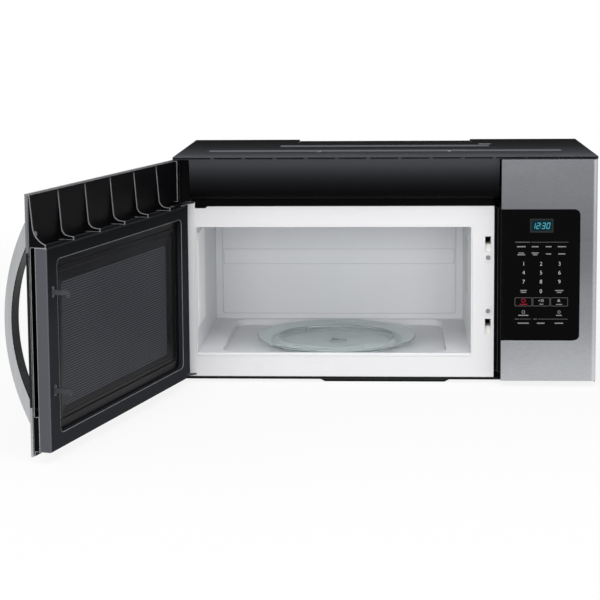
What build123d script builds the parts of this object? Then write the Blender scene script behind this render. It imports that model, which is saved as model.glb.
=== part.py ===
import os
from math import cos, radians, sin

from build123d import *

# Over-the-range microwave oven, millimetres.
# +X to the user's right, +Y towards the wall, +Z up. The origin is on the wall face, on the centre
# line, level with the bottom edge of the door and the control panel. The door stands open.

# ---- case ----
case_width = 759.0
case_depth = 390.0          # wall face to the front of door and control panel
case_top = 407.5            # top cover above the bottom edge of the door
base_drop = 4.0             # base plate's underside below that edge
sheet = 1.0                 # folded steel sheet
top_set_back = 4.0          # top cover's front edge behind the panel front
frame_set_back = 36.0       # oven's front frame behind the panel front
lip_height = 4.6            # down-turned front lip of the top cover

# ---- control panel ----
panel_width = 170.5
panel_bottom = 2.0
panel_top = 402.0
panel_skin = 1.2
glass_bevel = 0.9           # bevelled edge of the skin round the glass
panel_corner = 9.0          # rounded right-hand edge
panel_wrap = 20.0           # how far the skin turns back at the right
glass_width = 139.0
glass_bottom = 76.0
glass_top = 312.5
glass_thick = 3.7
glass_gap = 0.3
glass_corner = 10.0
plastic_wall = 2.0
seat_gap = 0.1              # between mouldings that lie on each other

# ---- door ----
door_open = 105.6           # degrees from shut, as it stands
door_gap = 2.5              # between the door and the control panel
hinge_inset = 14.0          # hinge axis from the case's left side
hinge_set_back = 16.0       # hinge axis behind the door's outer face
door_top = 402.0
door_seal_gap = 2.0         # shut door's inner face to the oven's front frame
skin_wall = 1.2
skin_return = 3.8
window_left = 62.0          # glass edge from the hinge axis
backing_wall = 2.7          # moulded backing behind skin and glass
rib_pitch = 95.5
rib_count = 6
rib_wall = 2.2
choke_bottom = 8.0
choke_top = 320.8
choke_back = 1.7            # choke frame's back, out from the hinge axis
choke_wall = 2.5
hinge_side = 27.0           # choke frame's face starts this far from the hinge axis
recess_left = 47.0
recess_right_margin = 34.0
recess_bottom = 31.5
recess_top = 300.0
step_in = 13.0              # ledge round the screen
film_wall = 0.9
pin_radius = 3.0
pin_clearance = 0.05

# ---- handle ----
handle_width = 26.0
handle_edge = 2.0           # handle's side from the door's free edge
handle_low = glass_bottom - 24.0
handle_high = glass_top + 45.5
handle_reach = 41.0         # outer bow above the door face
handle_thick = 12.5
handle_foot = 36.0          # length of each foot on the door

# ---- latch ----
hook_inset = 19.0           # hook's middle from the door's free edge
hook_wall = 3.6
hook_reach = 28.0           # hook beyond the door's inner face
hook_arm = 7.0
hook_tip = 3.0              # how far the hook's tip turns down
hook_levels = (248.5, 97.5)  # underside of each hook arm
latch_lift = 3.6            # rise that lifts the tips over their catches
hook_room = 0.4             # above a raised hook arm
slot_width = 10.4
slot_height = 27.0
ledge_clearance = 0.6

# ---- oven cavity ----
cavity_inset = 37.2         # case side to cavity side
cavity_width = 499.2
cavity_low = 41.0
cavity_high = 277.0
cavity_back_gap = 12.0      # cavity's back wall to the wall face
enamel = 0.8
cavity_corner = 3.0
floor_ledge = 3.5           # ledge round the floor pan above the opening's sill
pan_depth = 12.2
pan_width = 413.0
pan_margin = 8.0            # pan's edge from the front frame and from the back wall
pan_corner = 30.0
frame_bottom = 1.0
frame_top = 315.0
frame_right = 10.6          # frame's right edge short of the control panel

# ---- turntable ----
tray_radius = 152.0
tray_foot_radius = 109.0    # flat middle of the tray
tray_wall = 3.2
tray_front_gap = 6.0        # tray's edge behind the front frame
roller_radius = 5.5
roller_width = 7.0
roller_circle = 117.0
roller_count = 3
axle_radius = 1.5
run_gap = 0.3               # between pieces that move past each other
ring_wall = 4.0
shaft_radius = 3.5
coupler_reach = 20.0

upright = (Align.CENTER, Align.CENTER, Align.MIN)
hanging = (Align.CENTER, Align.CENTER, Align.MAX)

half = case_width / 2
front = -case_depth
frame_y = front + frame_set_back          # front face of the oven's front frame
left = -half
right = half
panel_left = right - panel_width
door_right = panel_left - door_gap
hinge_x = left + hinge_inset
hinge_y = front + hinge_set_back
door_reach = door_right - hinge_x         # hinge axis to the door's free edge
outer_w = hinge_set_back                  # door's outer face from the hinge axis
inner_w = -(frame_y - door_seal_gap - hinge_y)   # door's inner face from the hinge axis
base_z = -base_drop
inner_top = case_top - sheet
cavity_left = left + cavity_inset
cavity_right = cavity_left + cavity_width
cavity_back = -cavity_back_gap
tray_x = (cavity_left + cavity_right) / 2
tray_y = frame_y + tray_front_gap + tray_radius
ledge_z = cavity_low + floor_ledge
pan_z = ledge_z - pan_depth
frame_edge = panel_left - frame_right

turn = radians(-door_open)
door_along = Vector(cos(turn), sin(turn), 0)
door_out = Vector(sin(turn), -cos(turn), 0)
door_plane = Plane(origin=(hinge_x, hinge_y, 0), x_dir=door_along, z_dir=door_out)


def block(xs, ys, zs, mode=Mode.ADD):
    """Adds or cuts a box between two corners, in the part's own workplane."""
    with Locations(((xs[0] + xs[1]) / 2, (ys[0] + ys[1]) / 2, (zs[0] + zs[1]) / 2)):
        Box(abs(xs[1] - xs[0]), abs(ys[1] - ys[0]), abs(zs[1] - zs[0]), mode=mode)


def across_door(u):
    """A plane square to the door at u along it: x is outwards, y is up, and it extrudes to the hinge."""
    return Plane(origin=door_plane.from_local_coords((u, 0, 0)), x_dir=door_out, z_dir=-door_along)


def finish(built, name):
    """Names a piece and writes it to its own file."""
    built.part.label = name
    export_step(built.part, f"parts/{name}.step")


os.makedirs("parts", exist_ok=True)

# =====================================================================================
# Case
# =====================================================================================
bolt_x = 330.0              # cabinet bolts through the top
bolt_y = 138.0              # behind the panel front
bolt_hole = 3.3
gland_x = 192.0
gland_y = 249.0
gland_hole = 10.0
notch_width = 340.0         # exhaust notch in the top's rear edge
notch_depth = 85.0
ridge_height = 3.0
ridge_width = 7.0
ridges = ((652.0, 115.0), (400.0, 219.0))     # length, distance behind the panel front
tab_pitch = 56.0
tab_size = 5.0
corner_flange = 28.5        # wrap's front flange beside the shroud

with BuildPart() as outer_case:
    block((left, right), (front + top_set_back, 0), (inner_top, case_top))
    block((left, left + sheet), (frame_y + sheet, 0), (base_z, inner_top))
    block((right - sheet, right), (front + panel_wrap, 0), (base_z, inner_top))
    block((left, right), (front + top_set_back, front + top_set_back + sheet),
          (case_top - lip_height, inner_top))
    block((left, left + corner_flange), (frame_y, frame_y + sheet), (frame_top + run_gap, inner_top))
    block((-notch_width / 2, notch_width / 2), (-notch_depth, 0), (inner_top, case_top), Mode.SUBTRACT)
    for length, behind in ridges:
        with BuildSketch(Plane.XY.offset(case_top)):
            with Locations((0, front + behind)):
                SlotOverall(length, ridge_width)
        extrude(amount=ridge_height, taper=35)
    with Locations((-bolt_x, front + bolt_y, case_top), (bolt_x, front + bolt_y, case_top)):
        Hole(bolt_hole, depth=sheet * 3)
    with Locations((gland_x, front + gland_y, case_top)):
        Hole(gland_hole, depth=sheet * 3)
    tab_total = int((case_width - tab_pitch) / tab_pitch)
    lip_middle = case_top - lip_height / 2 - sheet / 2
    with Locations(Location((0, front + top_set_back, lip_middle))):
        with GridLocations(tab_pitch, 1, tab_total, 1):
            Box(tab_size, sheet * 3, lip_height / 2, mode=Mode.SUBTRACT)
finish(outer_case, "outer_case")

# wall hooks engage two slots low in the rear panel
hook_slot_x = 230.0
hook_slot_z = 22.0
hook_slot_length = 60.0
hook_slot_height = 5.0

with BuildPart() as rear_panel:
    block((left + sheet, right - sheet), (-sheet, 0), (base_z + sheet, inner_top))
    block((-notch_width / 2, notch_width / 2), (-sheet, 0), (inner_top - 2 * sheet, inner_top),
          Mode.SUBTRACT)
    with BuildSketch(Plane.XZ):
        with Locations((-hook_slot_x, hook_slot_z), (hook_slot_x, hook_slot_z)):
            SlotOverall(hook_slot_length, hook_slot_height)
    extrude(amount=sheet * 2, both=True, mode=Mode.SUBTRACT)
finish(rear_panel, "rear_panel")

# base plate with two filter openings and the lamp opening
filter_width = 208.0
filter_depth = 140.0
filter_left_x = -226.0
filter_right_x = 54.0
filter_y = 195.0            # filter's middle behind the panel front
filter_height = 8.0
filter_lip = 4.0
filter_rim = 12.0
filter_recess = 1.5
lamp_half = 118.0
lamp_front = 1.0            # lamp cover behind the front frame
lamp_depth = 74.0
lamp_drop = 4.4
lamp_end_slope = 9.0
lamp_window = 180.0
lamp_rim = 12.0
bulb_x = 48.0
bulb_radius = 10.0
bulb_length = 36.0
bulb_z = base_z + sheet + 16
socket_radius = 12.5
socket_depth = 16.0
socket_bracket = (30.0, 28.0)   # width, height of the plate behind each socket

with BuildPart() as base_plate:
    block((left + sheet, right - sheet), (frame_y + sheet, 0), (base_z, base_z + sheet))
    block((left + sheet, frame_edge), (frame_y, frame_y + sheet), (base_z, frame_bottom - run_gap))
    block((frame_edge, right - sheet), (frame_y, frame_y + sheet), (base_z, base_z + sheet))
    with Locations((filter_left_x, front + filter_y, base_z), (filter_right_x, front + filter_y, base_z)):
        Box(filter_width - 2 * filter_lip, filter_depth - 2 * filter_lip, sheet * 4, mode=Mode.SUBTRACT)
    lamp_mid = frame_y + lamp_front + lamp_depth / 2
    with Locations((0, lamp_mid, base_z)):
        Box(lamp_window, lamp_depth - 2 * lamp_rim, sheet * 4, mode=Mode.SUBTRACT)
finish(base_plate, "base_plate")


def grease_filter(x, name):
    """A framed aluminium mesh filter with a pull tab, lying on the base plate's lip."""
    bottom = base_z + sheet
    mid_y = front + filter_y
    with BuildPart() as grease_filter_part:
        with BuildSketch(Plane.XY.offset(bottom)):
            with Locations((x, mid_y)):
                RectangleRounded(filter_width, filter_depth, 6)
        extrude(amount=filter_height)
        for level in (bottom, bottom + filter_height - filter_recess):
            with BuildSketch(Plane.XY.offset(level)):
                with Locations((x, mid_y)):
                    RectangleRounded(filter_width - 2 * filter_rim, filter_depth - 2 * filter_rim, 3)
            extrude(amount=filter_recess, mode=Mode.SUBTRACT)
        with BuildSketch(Plane.XY.offset(bottom)):
            with Locations((x, mid_y - filter_depth / 2 + filter_rim + 10)):
                SlotOverall(26, 9)
        extrude(amount=filter_recess)
    finish(grease_filter_part, name)


grease_filter(filter_left_x, "grease_filter_left")
grease_filter(filter_right_x, "grease_filter_right")

# cooktop lamp cover: a shallow black tray with sloping ends under the front of the base
with BuildPart() as lamp_cover:
    with BuildSketch(Plane.XZ.offset(-(frame_y + lamp_front))):
        with BuildLine():
            Polyline((-lamp_half, base_z), (lamp_half, base_z),
                     (lamp_half - lamp_end_slope, base_z - lamp_drop),
                     (-lamp_half + lamp_end_slope, base_z - lamp_drop), close=True)
        make_face()
    extrude(amount=-lamp_depth)
    block((-lamp_window / 2, lamp_window / 2),
          (lamp_mid - lamp_depth / 2 + lamp_rim, lamp_mid + lamp_depth / 2 - lamp_rim),
          (base_z - lamp_drop - 1, base_z + 1), Mode.SUBTRACT)
finish(lamp_cover, "lamp_cover")

with BuildPart() as lamp_lens:
    lens_half = lamp_window / 2 - run_gap
    lens_rim = lamp_rim + run_gap
    lens_y = (lamp_mid - lamp_depth / 2 + lens_rim, lamp_mid + lamp_depth / 2 - lens_rim)
    block((-lens_half, lens_half), lens_y, (base_z - lamp_drop + 0.4, base_z - lamp_drop + 3))
    with Locations(Location((0, lamp_mid, base_z - lamp_drop + 0.4))):
        with GridLocations(12, 1, 14, 1):
            Cylinder(1.2, lens_y[1] - lens_y[0] - 4, rotation=(90, 0, 0), mode=Mode.SUBTRACT)
finish(lamp_lens, "lamp_lens")

# ceramic sockets on upright plates behind the lamp opening
socket_y = lamp_mid + lamp_depth / 2 - socket_depth
with BuildPart() as lamp_sockets:
    for x in (-bulb_x, bulb_x):
        with Locations(Location((x, socket_y, bulb_z), (-90, 0, 0))):
            Cylinder(socket_radius, socket_depth, align=upright)
            Cylinder(bulb_radius, socket_depth - 4, align=upright,
                     mode=Mode.SUBTRACT)
        block((x - socket_bracket[0] / 2, x + socket_bracket[0] / 2),
              (socket_y + socket_depth, socket_y + socket_depth + 2),
              (base_z + sheet, base_z + sheet + socket_bracket[1]))
finish(lamp_sockets, "lamp_sockets")

with BuildPart() as cooktop_lamps:
    for x in (-bulb_x, bulb_x):
        with Locations(Location((x, socket_y + socket_depth - 4, bulb_z), (90, 0, 0))):
            Cylinder(bulb_radius, bulb_length, align=upright)
        with Locations((x, socket_y + socket_depth - 4 - bulb_length, bulb_z)):
            Sphere(bulb_radius)
finish(cooktop_lamps, "cooktop_lamps")

# curved black air guide above the oven door opening
shroud_wall = 2.0
shroud_left = left + corner_flange + run_gap
shroud_right = panel_left - 3.0
shroud_lean = 8.0           # top edge behind the panel front
shroud_belly = 16.0
shroud_bend_z = 346.0
shroud_low_z = 329.0

with BuildPart() as front_shroud:
    top_y = front + shroud_lean + 2
    with BuildSketch(Plane.YZ.offset(shroud_left)):
        with BuildLine():
            upper = Line((top_y, inner_top - 0.2), (front + shroud_belly, shroud_bend_z))
            lower = TangentArc(upper @ 1, (frame_y - 0.5, shroud_low_z), tangent=upper % 1)
            Line(lower @ 1, (frame_y + 6, shroud_low_z - 1))
        trace(line_width=shroud_wall)
    extrude(amount=shroud_right - shroud_left)
    block((shroud_left, frame_edge - 2 * sheet), (frame_y + sheet, frame_y + sheet + shroud_wall),
          (frame_top - 12, shroud_low_z + 0.5))
    for x in (shroud_left, shroud_right - shroud_wall):
        block((x, x + shroud_wall), (front + shroud_belly, frame_y + 12), (shroud_bend_z, inner_top - 0.2))
finish(front_shroud, "front_shroud")

# =====================================================================================
# Front frame, hinges, oven cavity
# =====================================================================================
hook_x = door_right - hook_inset
lip_wall = 2.0
pad_size = (12.0, 18.0)
latch_screw_head = 1.2      # stays short of the shut door's inner face
frame_notch = 3.5
frame_notch_end = 58.0
slot_lows = [level + hook_arm + latch_lift + hook_room - slot_height for level in hook_levels]
screw_levels = (slot_lows[0] - 11.5, slot_lows[1] + slot_height + 14.5)

with BuildPart() as front_frame:
    frame_left = left + sheet / 2
    with BuildSketch(Plane.XZ.offset(-frame_y)):
        with BuildLine():
            Polyline((frame_left, frame_bottom), (frame_edge, frame_bottom), (frame_edge, frame_top),
                     (left + frame_notch_end, frame_top),
                     (left + frame_notch_end - frame_notch, frame_top - frame_notch),
                     (frame_left, frame_top - frame_notch), close=True)
        make_face()
        with Locations(((cavity_left + cavity_right) / 2, (cavity_low + cavity_high) / 2)):
            RectangleRounded(cavity_width, cavity_high - cavity_low, cavity_corner, mode=Mode.SUBTRACT)
        for low in slot_lows:
            with Locations((hook_x, low + slot_height / 2)):
                Rectangle(slot_width, slot_height, mode=Mode.SUBTRACT)
    extrude(amount=-sheet)
    # pressed bead round the opening and pads under the two latch screws
    with BuildSketch(Plane.XZ.offset(-frame_y)):
        with Locations(((cavity_left + cavity_right) / 2, (cavity_low + cavity_high) / 2)):
            RectangleRounded(cavity_width + 2 * lip_wall, cavity_high - cavity_low + 2 * lip_wall,
                             cavity_corner + lip_wall)
            RectangleRounded(cavity_width, cavity_high - cavity_low, cavity_corner, mode=Mode.SUBTRACT)
    extrude(amount=0.6)
    for level in screw_levels:
        with BuildSketch(Plane.XZ.offset(-frame_y)):
            with Locations((hook_x, level)):
                RectangleRounded(pad_size[0], pad_size[1], 1.5)
        extrude(amount=0.5, taper=20)
    block((frame_edge - sheet, frame_edge), (frame_y + sheet, frame_y + 14), (frame_bottom, frame_top))
finish(front_frame, "front_frame")

with BuildPart() as latch_screws:
    for level in screw_levels:
        with Locations(Location((hook_x, frame_y - 0.5, level), (90, 0, 0))):
            Cylinder(4.2, latch_screw_head, align=upright)
            with Locations((0, 0, latch_screw_head)):
                Box(5.2, 1.0, latch_screw_head, mode=Mode.SUBTRACT)
                Box(1.0, 5.2, latch_screw_head, mode=Mode.SUBTRACT)
finish(latch_screws, "latch_screws")

# hinge brackets: a tab on the front frame and an arm out to the hinge axis
arm_wall = 2.5
arm_half = 6.0
tab_left = 22.5             # bracket tab from the case side
tab_width = 13.0
upper_arm_z = choke_top + 0.4
lower_arm_z = choke_bottom - 0.5 - arm_wall
upper_tab_drop = 19.0
lower_tab_rise = 9.0


def hinge_bracket(arm_z, tab_low, tab_high, name):
    """A folded bracket: its tab lies on the front frame, its arm reaches the hinge axis."""
    tab_x = left + tab_left
    with BuildPart() as bracket:
        with BuildSketch(Plane.XY.offset(arm_z)):
            with BuildLine():
                Polyline((hinge_x - arm_half, hinge_y), (hinge_x - arm_half, hinge_y + 6),
                         (tab_x - 3, frame_y), (tab_x + tab_width, frame_y),
                         (tab_x + tab_width, frame_y - 4), (hinge_x + arm_half, hinge_y), close=True)
            make_face()
            with Locations((hinge_x, hinge_y)):
                Circle(arm_half)
        extrude(amount=arm_wall)
        block((tab_x, tab_x + tab_width), (frame_y - 1.6, frame_y), (tab_low, tab_high))
    finish(bracket, name)


hinge_bracket(upper_arm_z, upper_arm_z - upper_tab_drop, upper_arm_z + arm_wall, "upper_hinge_bracket")
hinge_bracket(lower_arm_z, lower_arm_z, lower_arm_z + arm_wall + lower_tab_rise, "lower_hinge_bracket")

pin_depth = 13.0
with BuildPart() as hinge_pins:
    with Locations((hinge_x, hinge_y, upper_arm_z - pin_depth)):
        Cylinder(pin_radius, pin_depth, align=upright)
    with Locations((hinge_x, hinge_y, lower_arm_z + arm_wall)):
        Cylinder(pin_radius, pin_depth, align=upright)
finish(hinge_pins, "hinge_pins")

# oven cavity: an enamelled box open at the front, with a sunken floor pan and a pressed back wall
press = 1.5
back_panel_margin = 14.0
back_panel_top = 14.0
band_margin = 3.0           # level band's ends inside the raised field
band_low = cavity_low + 116.0
band_high = cavity_low + 147.0
side_panel = (14.0, 128.0)     # pressed panel in the left wall, behind the front frame
side_panel_z = (cavity_low + 47.0, cavity_high - 12.0)
drive_hole = 8.0
port_behind = 158.0         # waveguide port in the right wall, behind the front
port_width = 104.0
port_rise = 91.0            # above the cavity's low edge
port_height = 100.0
port_y = (front + port_behind, front + port_behind + port_width)
port_z = (cavity_low + port_rise, cavity_low + port_rise + port_height)

with BuildPart() as oven_cavity:
    cavity_mid_x = (cavity_left + cavity_right) / 2
    cavity_mid_z = (cavity_low + cavity_high) / 2
    box_front = frame_y + sheet
    with BuildSketch(Plane.XZ.offset(-box_front)):
        with Locations((cavity_mid_x, cavity_mid_z)):
            RectangleRounded(cavity_width + 2 * enamel, cavity_high - cavity_low + 2 * enamel,
                             cavity_corner + enamel)
    extrude(amount=-(cavity_back + enamel - box_front))
    with BuildSketch(Plane.XZ.offset(-box_front)):
        with Locations((cavity_mid_x, cavity_mid_z)):
            RectangleRounded(cavity_width, cavity_high - cavity_low, cavity_corner)
    extrude(amount=-(cavity_back - box_front), mode=Mode.SUBTRACT)
    # floor: a raised ledge with the sunken pan inside it
    pan_front = frame_y + pan_margin
    pan_back = cavity_back - pan_margin
    block((cavity_left, cavity_right), (box_front, cavity_back), (cavity_low, ledge_z))
    with BuildSketch(Plane.XY.offset(pan_z - enamel)):
        with Locations((tray_x, (pan_front + pan_back) / 2)):
            RectangleRounded(pan_width + 2 * enamel, pan_back - pan_front + 2 * enamel, pan_corner + enamel)
    extrude(amount=cavity_low - pan_z + enamel)
    with BuildSketch(Plane.XY.offset(pan_z)):
        with Locations((tray_x, (pan_front + pan_back) / 2)):
            RectangleRounded(pan_width, pan_back - pan_front, pan_corner)
    extrude(amount=pan_depth, mode=Mode.SUBTRACT)
    with Locations((tray_x, tray_y, pan_z)):
        Hole(drive_hole, depth=3 * enamel)
    # pressed back wall: a raised field and a deeper level band across it
    with BuildSketch(Plane.XZ.offset(-cavity_back)):
        with Locations((cavity_mid_x, (ledge_z + 11 + cavity_high - back_panel_top) / 2)):
            RectangleRounded(cavity_width - 2 * back_panel_margin,
                             cavity_high - back_panel_top - ledge_z - 11, 6)
    extrude(amount=press, taper=30)
    with BuildSketch(Plane.XZ.offset(-cavity_back + press)):
        with Locations((cavity_mid_x, (band_low + band_high) / 2)):
            RectangleRounded(cavity_width - 2 * (back_panel_margin + band_margin), band_high - band_low, 5)
    extrude(amount=press, taper=30)
    with BuildSketch(Plane.YZ.offset(cavity_left)):
        with Locations((frame_y + sum(side_panel) / 2, sum(side_panel_z) / 2)):
            RectangleRounded(side_panel[1] - side_panel[0], side_panel_z[1] - side_panel_z[0], 6)
    extrude(amount=press, taper=30)
    block((cavity_right - 1, cavity_right + 2), (port_y[0] + 14, port_y[1] - 14),
          (port_z[0] + 14, port_z[1] - 14), Mode.SUBTRACT)
finish(oven_cavity, "oven_cavity")

cover_wall = 0.6
with BuildPart() as waveguide_cover:
    with BuildSketch(Plane.YZ.offset(cavity_right - cover_wall)):
        with Locations((sum(port_y) / 2, sum(port_z) / 2)):
            RectangleRounded(port_y[1] - port_y[0], port_z[1] - port_z[0], 8)
    extrude(amount=cover_wall)
finish(waveguide_cover, "waveguide_cover")

waveguide_depth = 30.0
guide_wall = 1.2
guide_x = cavity_right + enamel
antenna_hole = 11.0
with BuildPart() as waveguide:
    block((guide_x, guide_x + waveguide_depth), port_y, port_z)
    block((guide_x, guide_x + waveguide_depth - guide_wall),
          (port_y[0] + guide_wall, port_y[1] - guide_wall),
          (port_z[0] + guide_wall, port_z[1] - guide_wall), Mode.SUBTRACT)
    block((guide_x, guide_x + guide_wall), (port_y[0] - 8, port_y[1] + 8), (port_z[0] - 8, port_z[1] + 8))
    block((guide_x, guide_x + guide_wall), (port_y[0] + 14, port_y[1] - 14),
          (port_z[0] + 14, port_z[1] - 14), Mode.SUBTRACT)
    guide_mid = (guide_x + waveguide_depth, sum(port_y) / 2, sum(port_z) / 2)
    with Locations(Location(guide_mid, (0, 90, 0))):
        Cylinder(antenna_hole, 6, mode=Mode.SUBTRACT)
finish(waveguide, "waveguide")

# =====================================================================================
# Power and cooling parts in the right-hand compartment
# =====================================================================================
guide_out = guide_x + waveguide_depth
tube_y = sum(port_y) / 2
tube_z = sum(port_z) / 2
yoke_size = (78.0, 92.0, 82.0)
yoke_wall = 2.0
fin_count = 9
fin_wall = 0.8
anode_radius = 20.0
antenna_radius = 7.5
antenna_length = 24.0

with BuildPart() as magnetron:
    yoke_out = guide_out + yoke_size[0]
    block((guide_out, yoke_out), (tube_y - yoke_size[1] / 2, tube_y + yoke_size[1] / 2),
          (tube_z - yoke_size[2] / 2, tube_z + yoke_size[2] / 2))
    block((guide_out + yoke_wall, yoke_out - yoke_wall), (tube_y - yoke_size[1], tube_y + yoke_size[1]),
          (tube_z - yoke_size[2] / 2 + yoke_wall, tube_z + yoke_size[2] / 2 - yoke_wall), Mode.SUBTRACT)
    with Locations(Location((guide_out - antenna_length, tube_y, tube_z), (0, 90, 0))):
        Cylinder(antenna_radius, antenna_length + yoke_wall, align=upright)
    with Locations(Location((guide_out + yoke_wall, tube_y, tube_z), (0, 90, 0))):
        Cylinder(anode_radius, yoke_size[0] - 2 * yoke_wall, align=upright)
    block((yoke_out, yoke_out + 22), (tube_y - 18, tube_y + 18), (tube_z - 14, tube_z + 14))
finish(magnetron, "magnetron")

with BuildPart() as magnetron_fins:
    fin_gap = (yoke_size[0] - 2 * yoke_wall) / (fin_count + 1)
    for index in range(fin_count):
        fin_x = guide_out + yoke_wall + fin_gap * (index + 1)
        block((fin_x - fin_wall / 2, fin_x + fin_wall / 2),
              (tube_y - yoke_size[1] / 2 + 3, tube_y + yoke_size[1] / 2 - 3),
              (tube_z - yoke_size[2] / 2 + yoke_wall, tube_z + yoke_size[2] / 2 - yoke_wall))
    with Locations(Location((guide_out, tube_y, tube_z), (0, 90, 0))):
        Cylinder(anode_radius, yoke_size[0], align=upright,
                 mode=Mode.SUBTRACT)
finish(magnetron_fins, "magnetron_fins")

floor_z = base_z + sheet
core_x = right - 117.5
core_y = 105.0              # transformer's middle behind the panel front
core_size = (96.0, 62.0, 80.0)
core_leg = 16.0
winding_out = 14.0          # windings beyond the core, front and back

with BuildPart() as transformer_core:
    block((core_x - core_size[0] / 2, core_x + core_size[0] / 2),
          (front + core_y - core_size[1] / 2, front + core_y + core_size[1] / 2),
          (floor_z, floor_z + core_size[2]))
    for side in (-1, 1):
        window_x = core_x + side * (core_size[0] / 4)
        block((window_x - core_leg / 2, window_x + core_leg / 2),
              (front + core_y - core_size[1], front + core_y + core_size[1]),
              (floor_z + core_leg, floor_z + core_size[2] - core_leg), Mode.SUBTRACT)
    for side in (-1, 1):
        foot_x = core_x + side * (core_size[0] / 2 + 5)
        block((foot_x - 7, foot_x + 7), (front + core_y - 26, front + core_y + 26), (floor_z, floor_z + 2))
finish(transformer_core, "transformer_core")

with BuildPart() as transformer_windings:
    leg_half = core_size[0] / 4 - core_leg / 2
    low = floor_z + core_leg
    high = floor_z + core_size[2] - core_leg
    reach = core_size[1] / 2 + winding_out
    window = high - low
    for level, height in ((low + run_gap, window * 0.42), (low + window * 0.5, window * 0.48)):
        with BuildSketch(Plane.XY.offset(level)):
            with Locations((core_x, front + core_y)):
                RectangleRounded(2 * (leg_half + core_leg) - 0.6, 2 * reach, 10)
                Rectangle(2 * leg_half + 0.4, core_size[1] + 0.4, mode=Mode.SUBTRACT)
        extrude(amount=height)
finish(transformer_windings, "transformer_windings")

can_x = right - 39.5
can_y = 215.0
can_size = (52.0, 33.0, 92.0)
with BuildPart() as hv_capacitor:
    with BuildSketch(Plane.XY.offset(floor_z)):
        with Locations((can_x, front + can_y)):
            SlotOverall(can_size[0], can_size[1])
    extrude(amount=can_size[2])
    with Locations((can_x - 11, front + can_y, floor_z + can_size[2]),
                   (can_x + 11, front + can_y, floor_z + can_size[2])):
        Cylinder(5, 8, align=upright)
        with Locations((0, 0, 8)):
            Box(6, 0.8, 8, align=upright)
finish(hv_capacitor, "hv_capacitor")

with BuildPart() as hv_diode:
    diode_y = front + can_y + can_size[1] / 2 + 9
    with Locations(Location((can_x - 10, diode_y, floor_z + 4), (0, 90, 0))):
        Cylinder(4, 20, align=upright)
    with Locations(Location((can_x - 24, diode_y, floor_z + 4), (0, 90, 0))):
        Cylinder(0.8, 48, align=upright)
finish(hv_diode, "hv_diode")

# cooling fan on the rear panel
fan_box = (128.0, 44.0, 128.0)
fan_x = right - 117.5
fan_z = floor_z + fan_box[2] / 2 + 1
fan_bore = 56.0
fan_wall = 1.5
blade_radius = 53.0
blade_count = 5
fan_hub = 13.0
fan_shaft = 2.5
motor_size = (54.0, 20.0, 48.0)
inner_back = -sheet

with BuildPart() as fan_housing:
    fan_front = inner_back - fan_box[1]
    block((fan_x - fan_box[0] / 2, fan_x + fan_box[0] / 2), (fan_front, inner_back),
          (floor_z, floor_z + fan_box[2]))
    block((fan_x - fan_box[0] / 2 + fan_wall, fan_x + fan_box[0] / 2 - fan_wall),
          (fan_front + fan_wall, inner_back), (floor_z + fan_wall, floor_z + fan_box[2] - fan_wall),
          Mode.SUBTRACT)
    with Locations(Location((fan_x, fan_front, fan_z), (-90, 0, 0))):
        Cylinder(fan_bore + fan_wall, 14, align=upright)
        Cylinder(fan_bore, 14, align=upright, mode=Mode.SUBTRACT)
finish(fan_housing, "fan_housing")

with BuildPart() as fan_motor:
    block((fan_x - motor_size[0] / 2, fan_x + motor_size[0] / 2), (inner_back - motor_size[1], inner_back),
          (fan_z - motor_size[2] / 2, fan_z + motor_size[2] / 2))
    with Locations(Location((fan_x, inner_back - motor_size[1], fan_z), (90, 0, 0))):
        Cylinder(8, 3, align=upright)
    with Locations(Location((fan_x, inner_back - motor_size[1] - 3, fan_z), (-90, 0, 0))):
        Cylinder(fan_shaft + pin_clearance, motor_size[1], align=upright,
                 mode=Mode.SUBTRACT)
finish(fan_motor, "fan_motor")

with BuildPart() as fan_blades:
    blade_back = inner_back - motor_size[1] - 4
    with Locations(Location((fan_x, blade_back, fan_z), (90, 0, 0))):
        Cylinder(fan_hub, 14, align=upright)
    with Locations(Location((fan_x, blade_back, fan_z), (-90, 0, 0))):
        Cylinder(fan_shaft, motor_size[1] - 2, align=upright)
    with Locations(Location((fan_x, blade_back - 7, fan_z), (90, 0, 0))):
        with PolarLocations(0, blade_count):
            with Locations(Location(((fan_hub + blade_radius) / 2 - 1, 0, 0), (32, 0, 0))):
                Box(blade_radius - fan_hub, 22, 1.6)
finish(fan_blades, "fan_blades")

# =====================================================================================
# Exhaust blower under the top's rear notch
# =====================================================================================
blower_half = notch_width / 2 - 2.0
blower_depth = 116.0
blower_height = 110.0
blower_drop = 2.8           # blower's top plate below the top cover
blower_wall = 1.2
wheel_radius = 45.0
wheel_length = 96.0
wheel_gap = 48.0            # wheel's inner end from the middle
vane_count = 20
vane_depth = 9.0
blower_shaft = 4.0
blower_top = case_top - blower_drop
blower_back = inner_back
axis_y = blower_back - 58.0
axis_z = blower_top - 55.0
outlet_width = 100.0
outlet_depth = 20.0
outlet_x = 90.0             # outlet's middle from the centre line
outlet_front = 27.0         # outlet's front edge from the rear panel

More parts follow.
